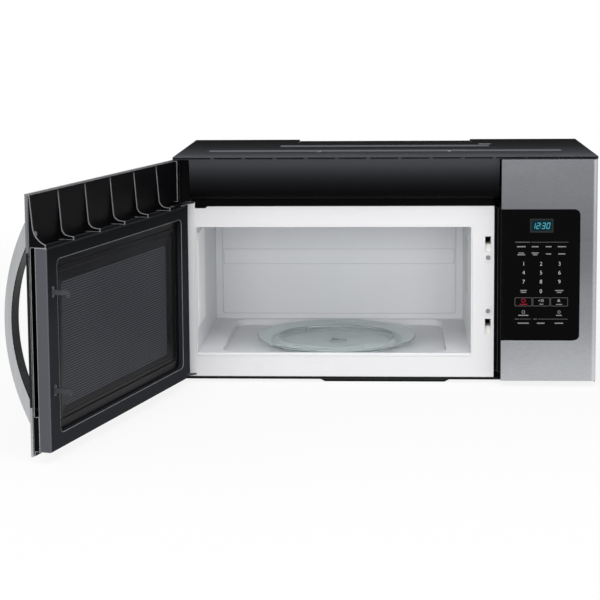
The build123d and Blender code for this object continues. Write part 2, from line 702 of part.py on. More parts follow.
with BuildPart() as blower_housing:
    block((-blower_half, blower_half), (blower_back - blower_depth, blower_back),
          (blower_top - blower_height, blower_top))
    block((-blower_half + blower_wall, blower_half - blower_wall),
          (blower_back - blower_depth + blower_wall, blower_back - blower_wall),
          (blower_top - blower_height + blower_wall, blower_top - blower_wall), Mode.SUBTRACT)
    block((-blower_half, blower_half), (blower_back - blower_depth, -notch_depth - 0.3),
          (inner_top - 0.2, blower_top), Mode.SUBTRACT)
    for side in (-1, 1):
        block((side * outlet_x - outlet_width / 2, side * outlet_x + outlet_width / 2),
              (blower_back - outlet_front, blower_back - outlet_front + outlet_depth),
              (blower_top - 3, blower_top + 1), Mode.SUBTRACT)
        with Locations(Location((side * blower_half, axis_y, axis_z), (0, 90, 0))):
            Cylinder(wheel_radius - 6, 8, mode=Mode.SUBTRACT)
    block((-60, 60), (blower_back - blower_depth - 1, blower_back - blower_depth + 3),
          (axis_z - 30, axis_z + 30), Mode.SUBTRACT)
finish(blower_housing, "blower_housing")

blower_motor_radius = 36.0
blower_motor_half = 34.0
with BuildPart() as blower_motor:
    with Locations(Location((0, axis_y, axis_z), (0, 90, 0))):
        Cylinder(blower_motor_radius, 2 * blower_motor_half)
        Cylinder(12, 2 * blower_motor_half + 10)
    for x in (-22, 22):
        block((x - 5, x + 5), (axis_y, blower_back - blower_wall), (axis_z - 8, axis_z + 8))
    with Locations(Location((0, axis_y, axis_z), (0, 90, 0))):
        Cylinder(blower_shaft + pin_clearance, 2 * blower_motor_half + 12, mode=Mode.SUBTRACT)
finish(blower_motor, "blower_motor")

with BuildPart() as blower_wheels:
    with Locations(Location((0, axis_y, axis_z), (0, 90, 0))):
        Cylinder(blower_shaft, 2 * (wheel_gap + wheel_length) - 6)
    for side in (-1, 1):
        inner_x = side * wheel_gap
        outer_x = side * (wheel_gap + wheel_length)
        hub_x = side * (wheel_gap + 6)
        with Locations(Location((inner_x + side * 1.5, axis_y, axis_z), (0, 90, 0))):
            Cylinder(wheel_radius, 3)
        with Locations(Location((hub_x, axis_y, axis_z), (0, 90, 0))):
            Cylinder(10, 12)
        with Locations(Location((outer_x - side * 1.5, axis_y, axis_z), (0, 90, 0))):
            Cylinder(wheel_radius, 3)
            Cylinder(wheel_radius - vane_depth, 3, mode=Mode.SUBTRACT)
        with Locations(Location(((inner_x + outer_x) / 2, axis_y, axis_z), (0, 90, 0))):
            with PolarLocations(wheel_radius - vane_depth / 2 - 0.5, vane_count):
                with Locations(Location((0, 0, 0), (0, 0, 28))):
                    Box(vane_depth - 1, 0.9, wheel_length)
finish(blower_wheels, "blower_wheels")

charcoal_size = (420.0, 12.0, 84.0)
with BuildPart() as charcoal_filter:
    charcoal_y = frame_y + 16
    charcoal_z = cavity_high + enamel
    charcoal_x = (cavity_left + cavity_right) / 2
    block((charcoal_x - charcoal_size[0] / 2, charcoal_x + charcoal_size[0] / 2),
          (charcoal_y, charcoal_y + charcoal_size[1]), (charcoal_z, charcoal_z + charcoal_size[2]))
    for level in (charcoal_y, charcoal_y + charcoal_size[1] - 2):
        block((charcoal_x - charcoal_size[0] / 2 + 8, charcoal_x + charcoal_size[0] / 2 - 8),
              (level, level + 2), (charcoal_z + 8, charcoal_z + charcoal_size[2] - 8), Mode.SUBTRACT)
finish(charcoal_filter, "charcoal_filter")

# strain relief in the top cover for the mains lead
cord_bore = 4.2
gland_flange = 13.0
gland_length = 16.0
with BuildPart() as cord_gland:
    with Locations((gland_x, front + gland_y, case_top)):
        Cylinder(gland_flange, 2, align=upright)
        Cylinder(gland_hole - 0.1, gland_length - 2, align=hanging)
        Cylinder(cord_bore, 3 * gland_length, mode=Mode.SUBTRACT)
finish(cord_gland, "cord_gland")

top_screw_x = 119.0
top_screw_y = 100.0
side_screw_z = (60.0, 200.0, 340.0)
with BuildPart() as case_screws:
    for x in (-top_screw_x, top_screw_x):
        with Locations((x, front + top_screw_y, case_top)):
            Cylinder(4.0, 2.0, align=upright)
            with Locations((0, 0, 2.0)):
                Box(4.8, 1.0, 1.6, mode=Mode.SUBTRACT)
                Box(1.0, 4.8, 1.6, mode=Mode.SUBTRACT)
    for side in (-1, 1):
        for level in side_screw_z:
            with Locations(Location((side * right, -14, level), (0, side * 90, 0))):
                Cylinder(4.0, 2.0, align=upright)
                with Locations((0, 0, 2.0)):
                    Box(4.8, 1.0, 1.6, mode=Mode.SUBTRACT)
                    Box(1.0, 4.8, 1.6, mode=Mode.SUBTRACT)
finish(case_screws, "case_screws")

# =====================================================================================
# Turntable
# =====================================================================================
motor_radius = 25.0
motor_height = 19.0
motor_face = pan_z - enamel
with BuildPart() as turntable_motor:
    with Locations((tray_x, tray_y, motor_face - motor_height)):
        Cylinder(motor_radius, motor_height, align=upright)
        Box(2 * motor_radius + 22, 12, 1.5, align=upright)
    with Locations((tray_x, tray_y, motor_face - 1.5)):
        Box(2 * motor_radius + 22, 12, 1.5, align=upright)
    with Locations((tray_x, tray_y, motor_face)):
        Cylinder(shaft_radius + pin_clearance, motor_height - 3, align=hanging, mode=Mode.SUBTRACT)
finish(turntable_motor, "turntable_motor")

roller_z = pan_z + run_gap + roller_radius
tray_under = roller_z + roller_radius + run_gap      # tray's outer part, underneath
foot_under = pan_z + run_gap + 4.4                   # tray's flat middle, underneath
coupler_bottom = pan_z + run_gap
arm_count = 3

with BuildPart() as drive_coupler:
    with Locations((tray_x, tray_y, motor_face - motor_height + 6)):
        Cylinder(shaft_radius, coupler_bottom - motor_face + motor_height - 6,
                 align=upright)
    with Locations((tray_x, tray_y, coupler_bottom)):
        Cylinder(7.0, foot_under - coupler_bottom, align=upright)
    with BuildSketch(Plane.XY.offset(coupler_bottom)):
        with Locations((tray_x, tray_y)):
            with PolarLocations(coupler_reach / 2, arm_count):
                SlotOverall(coupler_reach, 8)
    extrude(amount=foot_under - coupler_bottom)
finish(drive_coupler, "drive_coupler")

rim_rise = 4.6
with BuildPart() as glass_tray:
    with BuildSketch(Plane(origin=(tray_x, tray_y, 0), x_dir=(1, 0, 0), z_dir=(0, -1, 0))):
        with BuildLine():
            Polyline((0, foot_under), (tray_foot_radius - 5, foot_under),
                     (tray_foot_radius + 2.5, tray_under), (tray_radius - 3.6, tray_under),
                     (tray_radius, tray_under + 3.2), (tray_radius, tray_under + rim_rise + 0.6),
                     (tray_radius - 2.2, tray_under + rim_rise + 0.6),
                     (tray_radius - 4.6, tray_under + tray_wall),
                     (tray_foot_radius + 1.5, tray_under + tray_wall),
                     (tray_foot_radius - 6, foot_under + tray_wall),
                     (0, foot_under + tray_wall), close=True)
        make_face()
    revolve(axis=Axis((tray_x, tray_y, 0), (0, 0, 1)))
    # three lugs under the middle that the coupler's arms push round
    with BuildSketch(Plane.XY.offset(foot_under)):
        with Locations((tray_x, tray_y)):
            with PolarLocations(coupler_reach - 6, arm_count, start_angle=60):
                Circle(4)
    extrude(amount=-3.4)
finish(glass_tray, "glass_tray")

ring_inner = roller_circle + roller_width / 2 + 1.0
with BuildPart() as roller_ring:
    with BuildSketch(Plane.XY.offset(roller_z - ring_wall / 2)):
        with Locations((tray_x, tray_y)):
            Circle(ring_inner + ring_wall)
            Circle(ring_inner, mode=Mode.SUBTRACT)
    extrude(amount=ring_wall)
    with Locations(Location((tray_x, tray_y, roller_z))):
        with PolarLocations(ring_inner + 1, roller_count):
            with Locations(Location((0, 0, 0), (0, -90, 0))):
                Cylinder(axle_radius, roller_width + 4, align=upright)
                with Locations((0, 0, roller_width + 2.4)):
                    Cylinder(axle_radius + 1.2, 1.6, align=upright)
finish(roller_ring, "roller_ring")

for index in range(roller_count):
    angle = radians(360 / roller_count * index)
    spoke = Vector(cos(angle), sin(angle), 0)
    roller_mid = Vector(tray_x, tray_y, roller_z) + roller_circle * spoke
    with BuildPart() as roller:
        with BuildSketch(Plane(origin=roller_mid, z_dir=spoke)):
            Circle(roller_radius)
            Circle(axle_radius + pin_clearance, mode=Mode.SUBTRACT)
        extrude(amount=roller_width / 2, both=True)
        chamfer(roller.edges().filter_by(GeomType.CIRCLE).group_by(lambda e: round(e.radius, 2))[-1], 0.6)
    finish(roller, f"roller_{index + 1}")

lamp_y = frame_y + 55.0
lamp_z = cavity_high - 45.0
with BuildPart() as lamp_holder:
    block((cavity_right + enamel, cavity_right + enamel + 4), (lamp_y - 22, lamp_y + 22),
          (lamp_z - 20, lamp_z + 20))
    with Locations(Location((cavity_right + enamel + 4, lamp_y, lamp_z), (0, 90, 0))):
        Cylinder(13, 20, align=upright)
        with Locations((0, 0, -4)):
            Cylinder(10, 20, align=upright, mode=Mode.SUBTRACT)
finish(lamp_holder, "lamp_holder")

with BuildPart() as cavity_lamp:
    with Locations(Location((cavity_right + enamel + 20, lamp_y, lamp_z), (0, -90, 0))):
        Cylinder(9.9, 11, align=upright)
        with Locations((0, 0, 11)):
            Sphere(8)
finish(cavity_lamp, "cavity_lamp")

# =====================================================================================
# Latch board behind the front frame, with its switches
# =====================================================================================
board_depth = 36.0
board_side = 9.0
board_ends = 14.0
switch_size = (7.0, 16.0, 20.0)
switch_front = 12.0         # switch behind the board's front

with BuildPart() as latch_board:
    board_y = frame_y + sheet
    board_low = slot_lows[1] - board_ends
    board_high = slot_lows[0] + slot_height + board_ends
    block((hook_x - board_side, hook_x + board_side), (board_y, board_y + board_depth),
          (board_low, board_high))
    for level, low in zip(hook_levels, slot_lows):
        ledge = level - hook_tip - ledge_clearance
        # the hook's pocket, and the ramp that leads up to its ledge
        block((hook_x - slot_width / 2, hook_x + slot_width / 2), (board_y, board_y + board_depth),
              (ledge, low + slot_height), Mode.SUBTRACT)
        with BuildSketch(Plane.YZ.offset(hook_x - slot_width / 2)):
            with BuildLine():
                Polyline((board_y, low), (board_y + 2, low), (board_y + 10, ledge), (board_y, ledge),
                         close=True)
            make_face()
        extrude(amount=slot_width, mode=Mode.SUBTRACT)
finish(latch_board, "latch_board")

with BuildPart() as interlock_switches:
    for level in (hook_levels[0] + 2, hook_levels[1] + 2, sum(hook_levels) / 2):
        switch_back = board_y + switch_front + switch_size[1]
        block((hook_x - board_side - switch_size[0], hook_x - board_side),
              (board_y + switch_front, switch_back),
              (level - switch_size[2] / 2, level + switch_size[2] / 2))
        # three blade terminals
        blade_x = hook_x - board_side - switch_size[0] / 2
        for step in (-6, 0, 6):
            block((blade_x - 0.5, blade_x + 0.5), (switch_back, switch_back + 8),
                  (level + step - 2, level + step + 2))
finish(interlock_switches, "interlock_switches")

# =====================================================================================
# Control panel
# =====================================================================================
glass_right = panel_left + glass_width
glass_back = front + glass_thick
plate_y = glass_back + seat_gap        # panel frame's front plate
frame_inset = 5.5           # panel frame's right side from the case side
display_x = (glass_right - 93.0, glass_right - 43.0)
display_z = (glass_top - 46.5, glass_top - 12.5)
pcb_gap = 8.2
pcb_wall = 1.6
panel_flange = 4.3          # flange towards the oven's front frame

with BuildPart() as control_panel:
    with BuildSketch(Plane.XY.offset(panel_bottom)):
        with BuildLine():
            skin_line = Line((panel_left, front), (right - panel_corner, front))
            corner = TangentArc(skin_line @ 1, (right, front + panel_corner), tangent=skin_line % 1)
            Line(corner @ 1, (right, front + panel_wrap))
            Line((right, front + panel_wrap), (panel_left, front + panel_wrap))
            Line((panel_left, front + panel_wrap), (panel_left, front))
        make_face()
    extrude(amount=panel_top - panel_bottom)
    with BuildSketch(Plane.XY.offset(panel_bottom + panel_skin)):
        with BuildLine():
            skin_line = Line((panel_left, front + panel_skin), (right - panel_corner, front + panel_skin))
            corner_end = (right - panel_skin, front + panel_corner)
            corner = TangentArc(skin_line @ 1, corner_end, tangent=skin_line % 1)
            Line(corner @ 1, (right - panel_skin, front + panel_wrap))
            Line((right - panel_skin, front + panel_wrap), (panel_left, front + panel_wrap))
            Line((panel_left, front + panel_wrap), (panel_left, front + panel_skin))
        make_face()
    extrude(amount=panel_top - panel_bottom - 2 * panel_skin, mode=Mode.SUBTRACT)
    with BuildSketch(Plane.XZ.offset(-front)):
        with Locations((glass_right - glass_width, (glass_bottom + glass_top) / 2)):
            RectangleRounded(2 * glass_width, glass_top - glass_bottom, glass_corner)
    extrude(amount=-2 * panel_skin, mode=Mode.SUBTRACT)
    with BuildSketch(Plane.XZ.offset(-front)):
        with Locations((glass_right - glass_width, (glass_bottom + glass_top) / 2)):
            RectangleRounded(2 * (glass_width + glass_bevel), glass_top - glass_bottom + 2 * glass_bevel,
                             glass_corner + glass_bevel)
    extrude(amount=-glass_bevel, taper=45, mode=Mode.SUBTRACT)
finish(control_panel, "control_panel")

with BuildPart() as key_glass:
    with BuildSketch(Plane.XZ.offset(-front)):
        with Locations((glass_right - glass_width, (glass_bottom + glass_top) / 2)):
            RectangleRounded(2 * (glass_width - glass_gap), glass_top - glass_bottom - 2 * glass_gap,
                             glass_corner - glass_gap)
    extrude(amount=-glass_thick)
    block((panel_left - 2 * glass_width, panel_left), (front - 1, glass_back + 1),
          (glass_bottom, glass_top), Mode.SUBTRACT)
finish(key_glass, "key_glass")

channel_depth = 12.0
channel_wall = 1.5
with BuildPart() as panel_frame:
    frame_low = panel_bottom + panel_skin + seat_gap
    frame_high = panel_top - panel_skin - seat_gap
    frame_far = right - frame_inset
    block((panel_left, frame_far), (plate_y, frame_y + sheet), (frame_low, frame_high))
    block((panel_left + plastic_wall, frame_far - plastic_wall),
          (plate_y + plastic_wall, frame_y + 2 * sheet),
          (frame_low + plastic_wall, frame_high - plastic_wall), Mode.SUBTRACT)
    block((display_x[0] - glass_gap, display_x[1] + glass_gap), (plate_y - 1, plate_y + 2 * plastic_wall),
          (display_z[0] - glass_gap, display_z[1] + glass_gap), Mode.SUBTRACT)
    # flange beside the front frame, and the channel behind it that closes the gap to the frame
    channel_z = (frame_bottom + 10, frame_top - 4)
    flange_left = panel_left - panel_flange
    block((flange_left, panel_left), (frame_y - 0.5, frame_y + 1.5), channel_z)
    block((flange_left, flange_left + channel_wall), (frame_y, frame_y + channel_depth), channel_z)
    block((frame_edge + run_gap, flange_left + channel_wall),
          (frame_y + channel_depth - channel_wall, frame_y + channel_depth), channel_z)
    block((panel_left + 8, frame_far - 8), (frame_y + sheet, frame_y + sheet + plastic_wall),
          (floor_z, frame_low + plastic_wall))
    block((panel_left + 8, frame_far - 8), (frame_y - 1, frame_y + sheet + plastic_wall),
          (frame_low, frame_low + plastic_wall))
    for x in (panel_left + 14, frame_far - 14):
        for level in (glass_bottom + 4, glass_top - 2.5):
            with Locations(Location((x, plate_y + plastic_wall - 0.5, level), (-90, 0, 0))):
                Cylinder(4, pcb_gap + 0.5, align=upright)
finish(panel_frame, "panel_frame")

with BuildPart() as display:
    block(display_x, (glass_back + seat_gap, glass_back + 8), display_z)
    block((display_x[0] + 4, display_x[1] - 4), (glass_back, glass_back + 0.6),
          (display_z[0] + 4, display_z[1] - 4), Mode.SUBTRACT)
    for step in range(10):
        pin_x = display_x[0] + 7 + 4 * step
        block((pin_x, pin_x + 0.6), (glass_back + 8, plate_y + plastic_wall + pcb_gap),
              (display_z[0] + 2, display_z[0] + 2.6))
finish(display, "display")

# board parts: offset from the panel's left edge, height over the glass's lower edge, size
board_parts = ((31, 24, (28, 22, 30)), (76, 24, (18, 16, 20)), (116, 34, (24, 12, 40)),
               (41, 104, (40, 6, 40)), (121, 124, (18, 15, 18)), (91, 174, (60, 4, 22)))
with BuildPart() as control_board:
    board_back = plate_y + plastic_wall + pcb_gap
    block((panel_left + 6, frame_far - 6), (board_back, board_back + pcb_wall),
          (glass_bottom - 8, glass_top + 9.5))
    for over, above, size in board_parts:
        with Locations((panel_left + over, board_back + pcb_wall, glass_bottom + above)):
            Box(*size, align=(Align.CENTER, Align.MIN, Align.CENTER))
finish(control_board, "control_board")

power_tray = (130.0, 110.0, 12.0)
power_behind = 140.0        # tray's middle behind the front
with BuildPart() as power_board:
    power_x = cavity_right - 85.7
    power_y = front + power_behind
    power_z = cavity_high + enamel
    with Locations((power_x, power_y, power_z)):
        Box(*power_tray, align=upright)
        Box(power_tray[0] - 4, power_tray[1] - 4, power_tray[2] * 2, align=upright, mode=Mode.SUBTRACT)
        Box(power_tray[0] - 4, power_tray[1] - 4, 2, align=upright)
    # relay, capacitors and transformer, each as place, radius and height
    cans = ((-35, 20, 16, 24), (10, 25, 8, 18), (35, -20, 11, 30), (-30, -28, 7, 14))
    for dx, dy, radius, height in cans:
        with Locations((power_x + dx, power_y + dy, power_z + 2)):
            Cylinder(radius, height, align=upright)
finish(power_board, "power_board")

# =====================================================================================
# Door, in its own plane: x along it from the hinge axis, y up, z outwards
# =====================================================================================
door_left = -hinge_inset
skin_back = outer_w - skin_return
glass_rear = outer_w - glass_thick - glass_gap
backing_front = glass_rear - seat_gap
backing_back = backing_front - backing_wall
skin_round = 3.0
clip_gap = 0.2              # moulding inside the skin's returns
backing_left = door_left + skin_wall + clip_gap
backing_right = door_reach - skin_wall - clip_gap
view_margin = (38.0, 66.0)      # viewing window inside the glass: at the hinge side, at the free side
view_level = (94.0, 294.0)
bolt_levels = (handle_low + 18.0, handle_high - 18.0)
bolt_radius = 2.1
handle_mid = door_reach - handle_edge - handle_width / 2

with BuildPart(door_plane) as door_skin:
    block((door_left, door_reach), (0, door_top), (skin_back, outer_w))
    hinge_edge = door_skin.edges().filter_by(Axis.Z).group_by(
        lambda e: round(door_plane.to_local_coords(e.center()).X
                        - door_plane.to_local_coords(e.center()).Z, 1))[0]
    fillet(hinge_edge, skin_round)
    block((door_left + skin_wall, door_reach - skin_wall), (skin_wall, door_top - skin_wall),
          (skin_back - 1, outer_w - skin_wall), Mode.SUBTRACT)
    block((window_left, door_reach + 1), (glass_bottom, glass_top), (skin_back - 1, outer_w + 1),
          Mode.SUBTRACT)
    for level in bolt_levels:
        with Locations((handle_mid, level, outer_w)):
            Cylinder(bolt_radius + 0.4, 4 * skin_wall, mode=Mode.SUBTRACT)
finish(door_skin, "door_skin")

with BuildPart(door_plane) as door_glass:
    block((window_left + glass_gap, door_reach), (glass_bottom + glass_gap, glass_top - glass_gap),
          (glass_rear, outer_w))
finish(door_glass, "door_glass")

# black moulding behind the skin: a plate with the viewing window and, above the choke frame, curved
# ribs that stand on it
rib_lean = 5.0              # rib's depth at the bend
rib_bend = 338.0
rib_foot = 326.0
rib_reach = inner_w + 2.0
sweep_start = 352.0         # top of the large curve of the wall at the free end
end_wall_bottom = 327.0
end_block_top = 62.0
rib_base = choke_top + seat_gap
rib_high = door_top - skin_wall - 0.8

with BuildPart(door_plane) as door_frame:
    block((backing_left, backing_right), (skin_wall + clip_gap, door_top - skin_wall - clip_gap),
          (backing_back, backing_front))
    block((window_left + view_margin[0], door_reach - view_margin[1]), view_level,
          (backing_back - 1, backing_front + 1), Mode.SUBTRACT)
    block((backing_right - 10, backing_right), (choke_bottom, end_block_top),
          (choke_back + seat_gap, backing_back))
    for index in range(rib_count):
        rib_u = backing_right - rib_pitch * index
        bend_w = backing_back - rib_lean
        with BuildSketch(across_door(rib_u)):
            with BuildLine():
                if index == 0:
                    sweep = Line((backing_back, rib_high), (bend_w + 0.5, sweep_start))
                    TangentArc(sweep @ 1, (rib_reach, rib_foot), tangent=sweep % 1)
                else:
                    Line((backing_back, rib_high), (bend_w, rib_bend))
                    ThreePointArc((bend_w, rib_bend), (bend_w - 4, rib_foot + 4.2),
                                  (bend_w - 11, rib_foot + 1))
                    Line((bend_w - 11, rib_foot + 1), (rib_reach, rib_foot))
                Polyline((rib_reach, rib_foot), (rib_reach, rib_base), (backing_back, rib_base),
                         (backing_back, rib_high))
            make_face()
        extrude(amount=rib_wall)
    block((hinge_inset - 4, hinge_inset - 4 + rib_wall), (end_wall_bottom, rib_high),
          (backing_back - 6, backing_back))
    for level in bolt_levels:
        with Locations((handle_mid, level, backing_back)):
            Cylinder(bolt_radius + 0.4, 4 * backing_wall, mode=Mode.SUBTRACT)
finish(door_frame, "door_frame")

step_floor = -8.0           # ledge round the screen
screen_front = -5.3
screen_wall = 1.0
recess_corner = 10.0
recess_right = door_reach - recess_right_margin
column_out = backing_back - seat_gap
recess_mid = ((recess_left + recess_right) / 2, (recess_bottom + recess_top) / 2)
recess_size = (recess_right - recess_left, recess_top - recess_bottom)
column_in = -8.0
slot_clear = 0.6
guide_wall_u = 2.0
guide_levels = ((140.0, 165.0), (195.0, 220.0))
latch_u = door_reach - hook_inset
latch_low = hook_levels[1] - 16.0
latch_high = hook_levels[0] + 24.0
latch_back = inner_w + choke_wall + run_gap
latch_front = latch_back + 9.0
spring_length = 20.0
spring_radius = 2.6

with BuildPart(door_plane) as choke_frame:
    block((hinge_side, door_reach - sheet), (choke_bottom, choke_top), (inner_w, choke_back))
    face_edges = choke_frame.faces().sort_by(Axis(door_plane.origin, door_out))[0].edges()
    fillet(face_edges, 2.0)
    block((hinge_side + choke_wall, door_reach - sheet - choke_wall),
          (choke_bottom + choke_wall, choke_top - choke_wall),
          (inner_w + choke_wall, choke_back + 1), Mode.SUBTRACT)
    block((recess_left - choke_wall, recess_right + choke_wall),
          (recess_bottom - choke_wall, recess_top + choke_wall),
          (inner_w + choke_wall / 2, screen_front - seat_gap))
    with BuildSketch(door_plane.offset(inner_w - 1)):
        with Locations(recess_mid):
            RectangleRounded(*recess_size, recess_corner)
    extrude(amount=step_floor - inner_w + 1, mode=Mode.SUBTRACT)
    with BuildSketch(door_plane.offset(step_floor - 1)):
        with Locations(recess_mid):
            RectangleRounded(recess_size[0] - 2 * step_in, recess_size[1] - 2 * step_in, recess_corner)
    extrude(amount=12, mode=Mode.SUBTRACT)
    block((column_in, hinge_side + choke_wall), (choke_bottom, choke_top), (column_in, column_out))
    for low in (choke_bottom, choke_top - pin_depth - 1):
        with Locations(Location((0, low - 0.5, 0), (-90, 0, 0))):
            Cylinder(pin_radius + pin_clearance, pin_depth + 1.5, align=upright, mode=Mode.SUBTRACT)
    for level in hook_levels:
        block((latch_u - hook_wall / 2 - slot_clear, latch_u + hook_wall / 2 + slot_clear),
              (level - hook_tip - slot_clear, level + hook_arm + latch_lift + slot_clear),
              (inner_w - 1, inner_w + choke_wall + 1), Mode.SUBTRACT)
    for side in (-1, 1):
        guide_u = latch_u + side * (hook_wall / 2 + run_gap + guide_wall_u / 2)
        for low, high in guide_levels:
            block((guide_u - guide_wall_u / 2, guide_u + guide_wall_u / 2), (low, high),
                  (inner_w + choke_wall / 2, latch_front - 1))
    block((latch_u - 4, latch_u + 4), (latch_low - run_gap - 4, latch_low - run_gap),
          (inner_w + choke_wall / 2, latch_front))
    block((latch_u - 4, latch_u + 4), (latch_high + spring_length, latch_high + spring_length + 4),
          (inner_w + choke_wall / 2, latch_front))
finish(choke_frame, "choke_frame")

with BuildPart(door_plane) as door_screen:
    screen_u = (recess_left + run_gap, recess_right - run_gap)
    screen_v = (recess_bottom + run_gap, recess_top - run_gap)
    block(screen_u, screen_v, (screen_front, column_out))
    block((screen_u[0] + screen_wall, screen_u[1] - screen_wall),
          (screen_v[0] + screen_wall, screen_v[1] - screen_wall),
          (screen_front + screen_wall, column_out + 1), Mode.SUBTRACT)
finish(door_screen, "door_screen")

with BuildPart(door_plane) as inner_film:
    with BuildSketch(door_plane.offset(step_floor - film_wall)):
        with Locations(recess_mid):
            RectangleRounded(recess_size[0] - 2 * run_gap, recess_size[1] - 2 * run_gap,
                             recess_corner - run_gap)
    extrude(amount=film_wall)
finish(inner_film, "inner_film")

with BuildPart(door_plane) as door_latch:
    with BuildSketch(across_door(latch_u + hook_wall / 2)):
        with Locations(((latch_back + latch_front) / 2, (latch_low + latch_high) / 2)):
            Rectangle(latch_front - latch_back, latch_high - latch_low)
        tip_w = inner_w - hook_reach
        for level in hook_levels:
            with BuildLine():
                Polyline((latch_back + 1, level), (tip_w + 6, level), (tip_w + 5, level - hook_tip),
                         (tip_w + 2, level - hook_tip), (tip_w, level + 1), (tip_w + 3, level + hook_arm),
                         (latch_back + 1, level + hook_arm), close=True)
            make_face()
    extrude(amount=hook_wall)
finish(door_latch, "door_latch")

with BuildPart(door_plane) as latch_spring:
    with Locations(Location((latch_u, latch_high, (latch_back + latch_front) / 2), (-90, 0, 0))):
        Cylinder(spring_radius, spring_length, align=upright)
        Cylinder(spring_radius - 0.8, spring_length, align=upright,
                 mode=Mode.SUBTRACT)
finish(latch_spring, "latch_spring")

# bow handle: an outer arc and a flatter inner arc that leave a foot at each end
handle_middle = (handle_low + handle_high) / 2
grip_top = outer_w + handle_reach
grip_inside = grip_top - handle_thick
grip_round = 2.5
end_w = outer_w + 3.0        # blunt ends of the bow
with BuildPart(door_plane) as handle:
    with BuildSketch(across_door(door_reach - handle_edge)):
        with BuildLine():
            ThreePointArc((end_w, handle_low), (grip_top, handle_middle), (end_w, handle_high))
            Polyline((end_w, handle_high), (outer_w, handle_high), (outer_w, handle_high - handle_foot))
            ThreePointArc((outer_w, handle_high - handle_foot), (grip_inside, handle_middle),
                          (outer_w, handle_low + handle_foot))
            Polyline((outer_w, handle_low + handle_foot), (outer_w, handle_low), (end_w, handle_low))
        make_face()
    extrude(amount=handle_width)
    fillet(handle.edges().filter_by(GeomType.CIRCLE).sort_by(SortBy.RADIUS)[:2], grip_round)
    fillet(handle.edges().filter_by(GeomType.CIRCLE).sort_by(SortBy.RADIUS)[-2:], grip_round)
    for level in bolt_levels:
        with Locations((handle_mid, level, outer_w)):
            Cylinder(bolt_radius + 0.1, 11, mode=Mode.SUBTRACT)
finish(handle, "handle")

with BuildPart(door_plane) as handle_screws:
    for level in bolt_levels:
        with Locations((handle_mid, level, backing_back - 3)):
            Cylinder(4.2, 3, align=upright)
            Cylinder(bolt_radius, outer_w - backing_back + 8, align=upright)
finish(handle_screws, "handle_screws")
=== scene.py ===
import math
import bpy
from mathutils import Matrix, Vector


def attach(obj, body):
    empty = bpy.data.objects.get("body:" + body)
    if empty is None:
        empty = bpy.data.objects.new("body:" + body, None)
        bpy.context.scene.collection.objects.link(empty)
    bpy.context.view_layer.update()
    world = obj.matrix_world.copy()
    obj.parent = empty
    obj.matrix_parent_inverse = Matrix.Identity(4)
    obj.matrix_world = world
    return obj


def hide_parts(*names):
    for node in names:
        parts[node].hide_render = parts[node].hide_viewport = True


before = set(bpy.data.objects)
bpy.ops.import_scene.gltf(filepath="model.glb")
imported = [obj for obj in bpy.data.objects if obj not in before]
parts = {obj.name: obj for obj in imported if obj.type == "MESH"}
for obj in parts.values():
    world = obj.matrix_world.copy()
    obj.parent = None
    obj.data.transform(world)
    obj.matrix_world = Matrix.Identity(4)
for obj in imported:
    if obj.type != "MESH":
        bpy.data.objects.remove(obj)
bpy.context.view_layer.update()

print("frame loaded:", len(parts), "nodes")


# the open door's own directions: along its width from the hinge, up, and through to its outer face
doorTurn = 105.6
hingeX, hingeY = -0.3655, -0.374
turnCos, turnSin = math.cos(math.radians(doorTurn)), math.sin(math.radians(doorTurn))
doorMatrix = Matrix(((turnCos, 0, -turnSin, hingeX), (-turnSin, 0, -turnCos, hingeY), (0, 1, 0, 0),
                     (0, 0, 0, 1)))
noiseSpan = {"From Min": 0.3, "From Max": 0.7}  # where nearly all values of a noise texture lie


def toLinear(hexCode, alpha=1.0):
    channels = [int(hexCode[i:i + 2], 16) / 255 for i in (1, 3, 5)]
    return tuple(c / 12.92 if c <= 0.04045 else ((c + 0.055) / 1.055) ** 2.4 for c in channels) + (alpha,)


def addNode(tree, kind, inputs=None, **settings):
    # adds one shader node; an input is a plain value or the output socket of another node
    node = tree.nodes.new("ShaderNode" + kind)
    for name, value in settings.items():
        setattr(node, name, value)
    for socket, value in (inputs or {}).items():
        if isinstance(value, bpy.types.NodeSocket):
            tree.links.new(value, node.inputs[socket])
        else:
            node.inputs[socket].default_value = value
    return node


def startFinish(name, sockets):
    # a Principled shader with its plain numbers set, and the Object coordinates to draw patterns in
    finish = bpy.data.materials.new(name)
    finish.use_nodes = True
    tree = finish.node_tree
    shader = tree.nodes["Principled BSDF"]
    for socket, value in sockets.items():
        shader.inputs[socket].default_value = value
    return finish, tree, shader, addNode(tree, "TexCoord").outputs["Object"]


def tonesAlong(tree, value, levels):
    # blends the tones measured at a few levels, and also gives the share of the way along them
    share = addNode(tree, "MapRange",
                    {"Value": value, "From Min": levels[0][0], "From Max": levels[-1][0]}).outputs[0]
    ramp = addNode(tree, "ValToRGB", {"Fac": share})
    stops = ramp.color_ramp.elements  # it starts with two, one at each end
    stops[0].color, stops[1].color = toLinear(levels[0][1]), toLinear(levels[-1][1])
    for level, hexCode in levels[1:-1]:
        stops.new((level - levels[0][0]) / (levels[-1][0] - levels[0][0])).color = toLinear(hexCode)
    return ramp.outputs["Color"], share


def dress(finish, *names):
    # gives one finish to the named CAD pieces, all over
    for name in names:
        mesh = parts[name].data
        mesh.materials.clear()
        mesh.materials.append(finish)


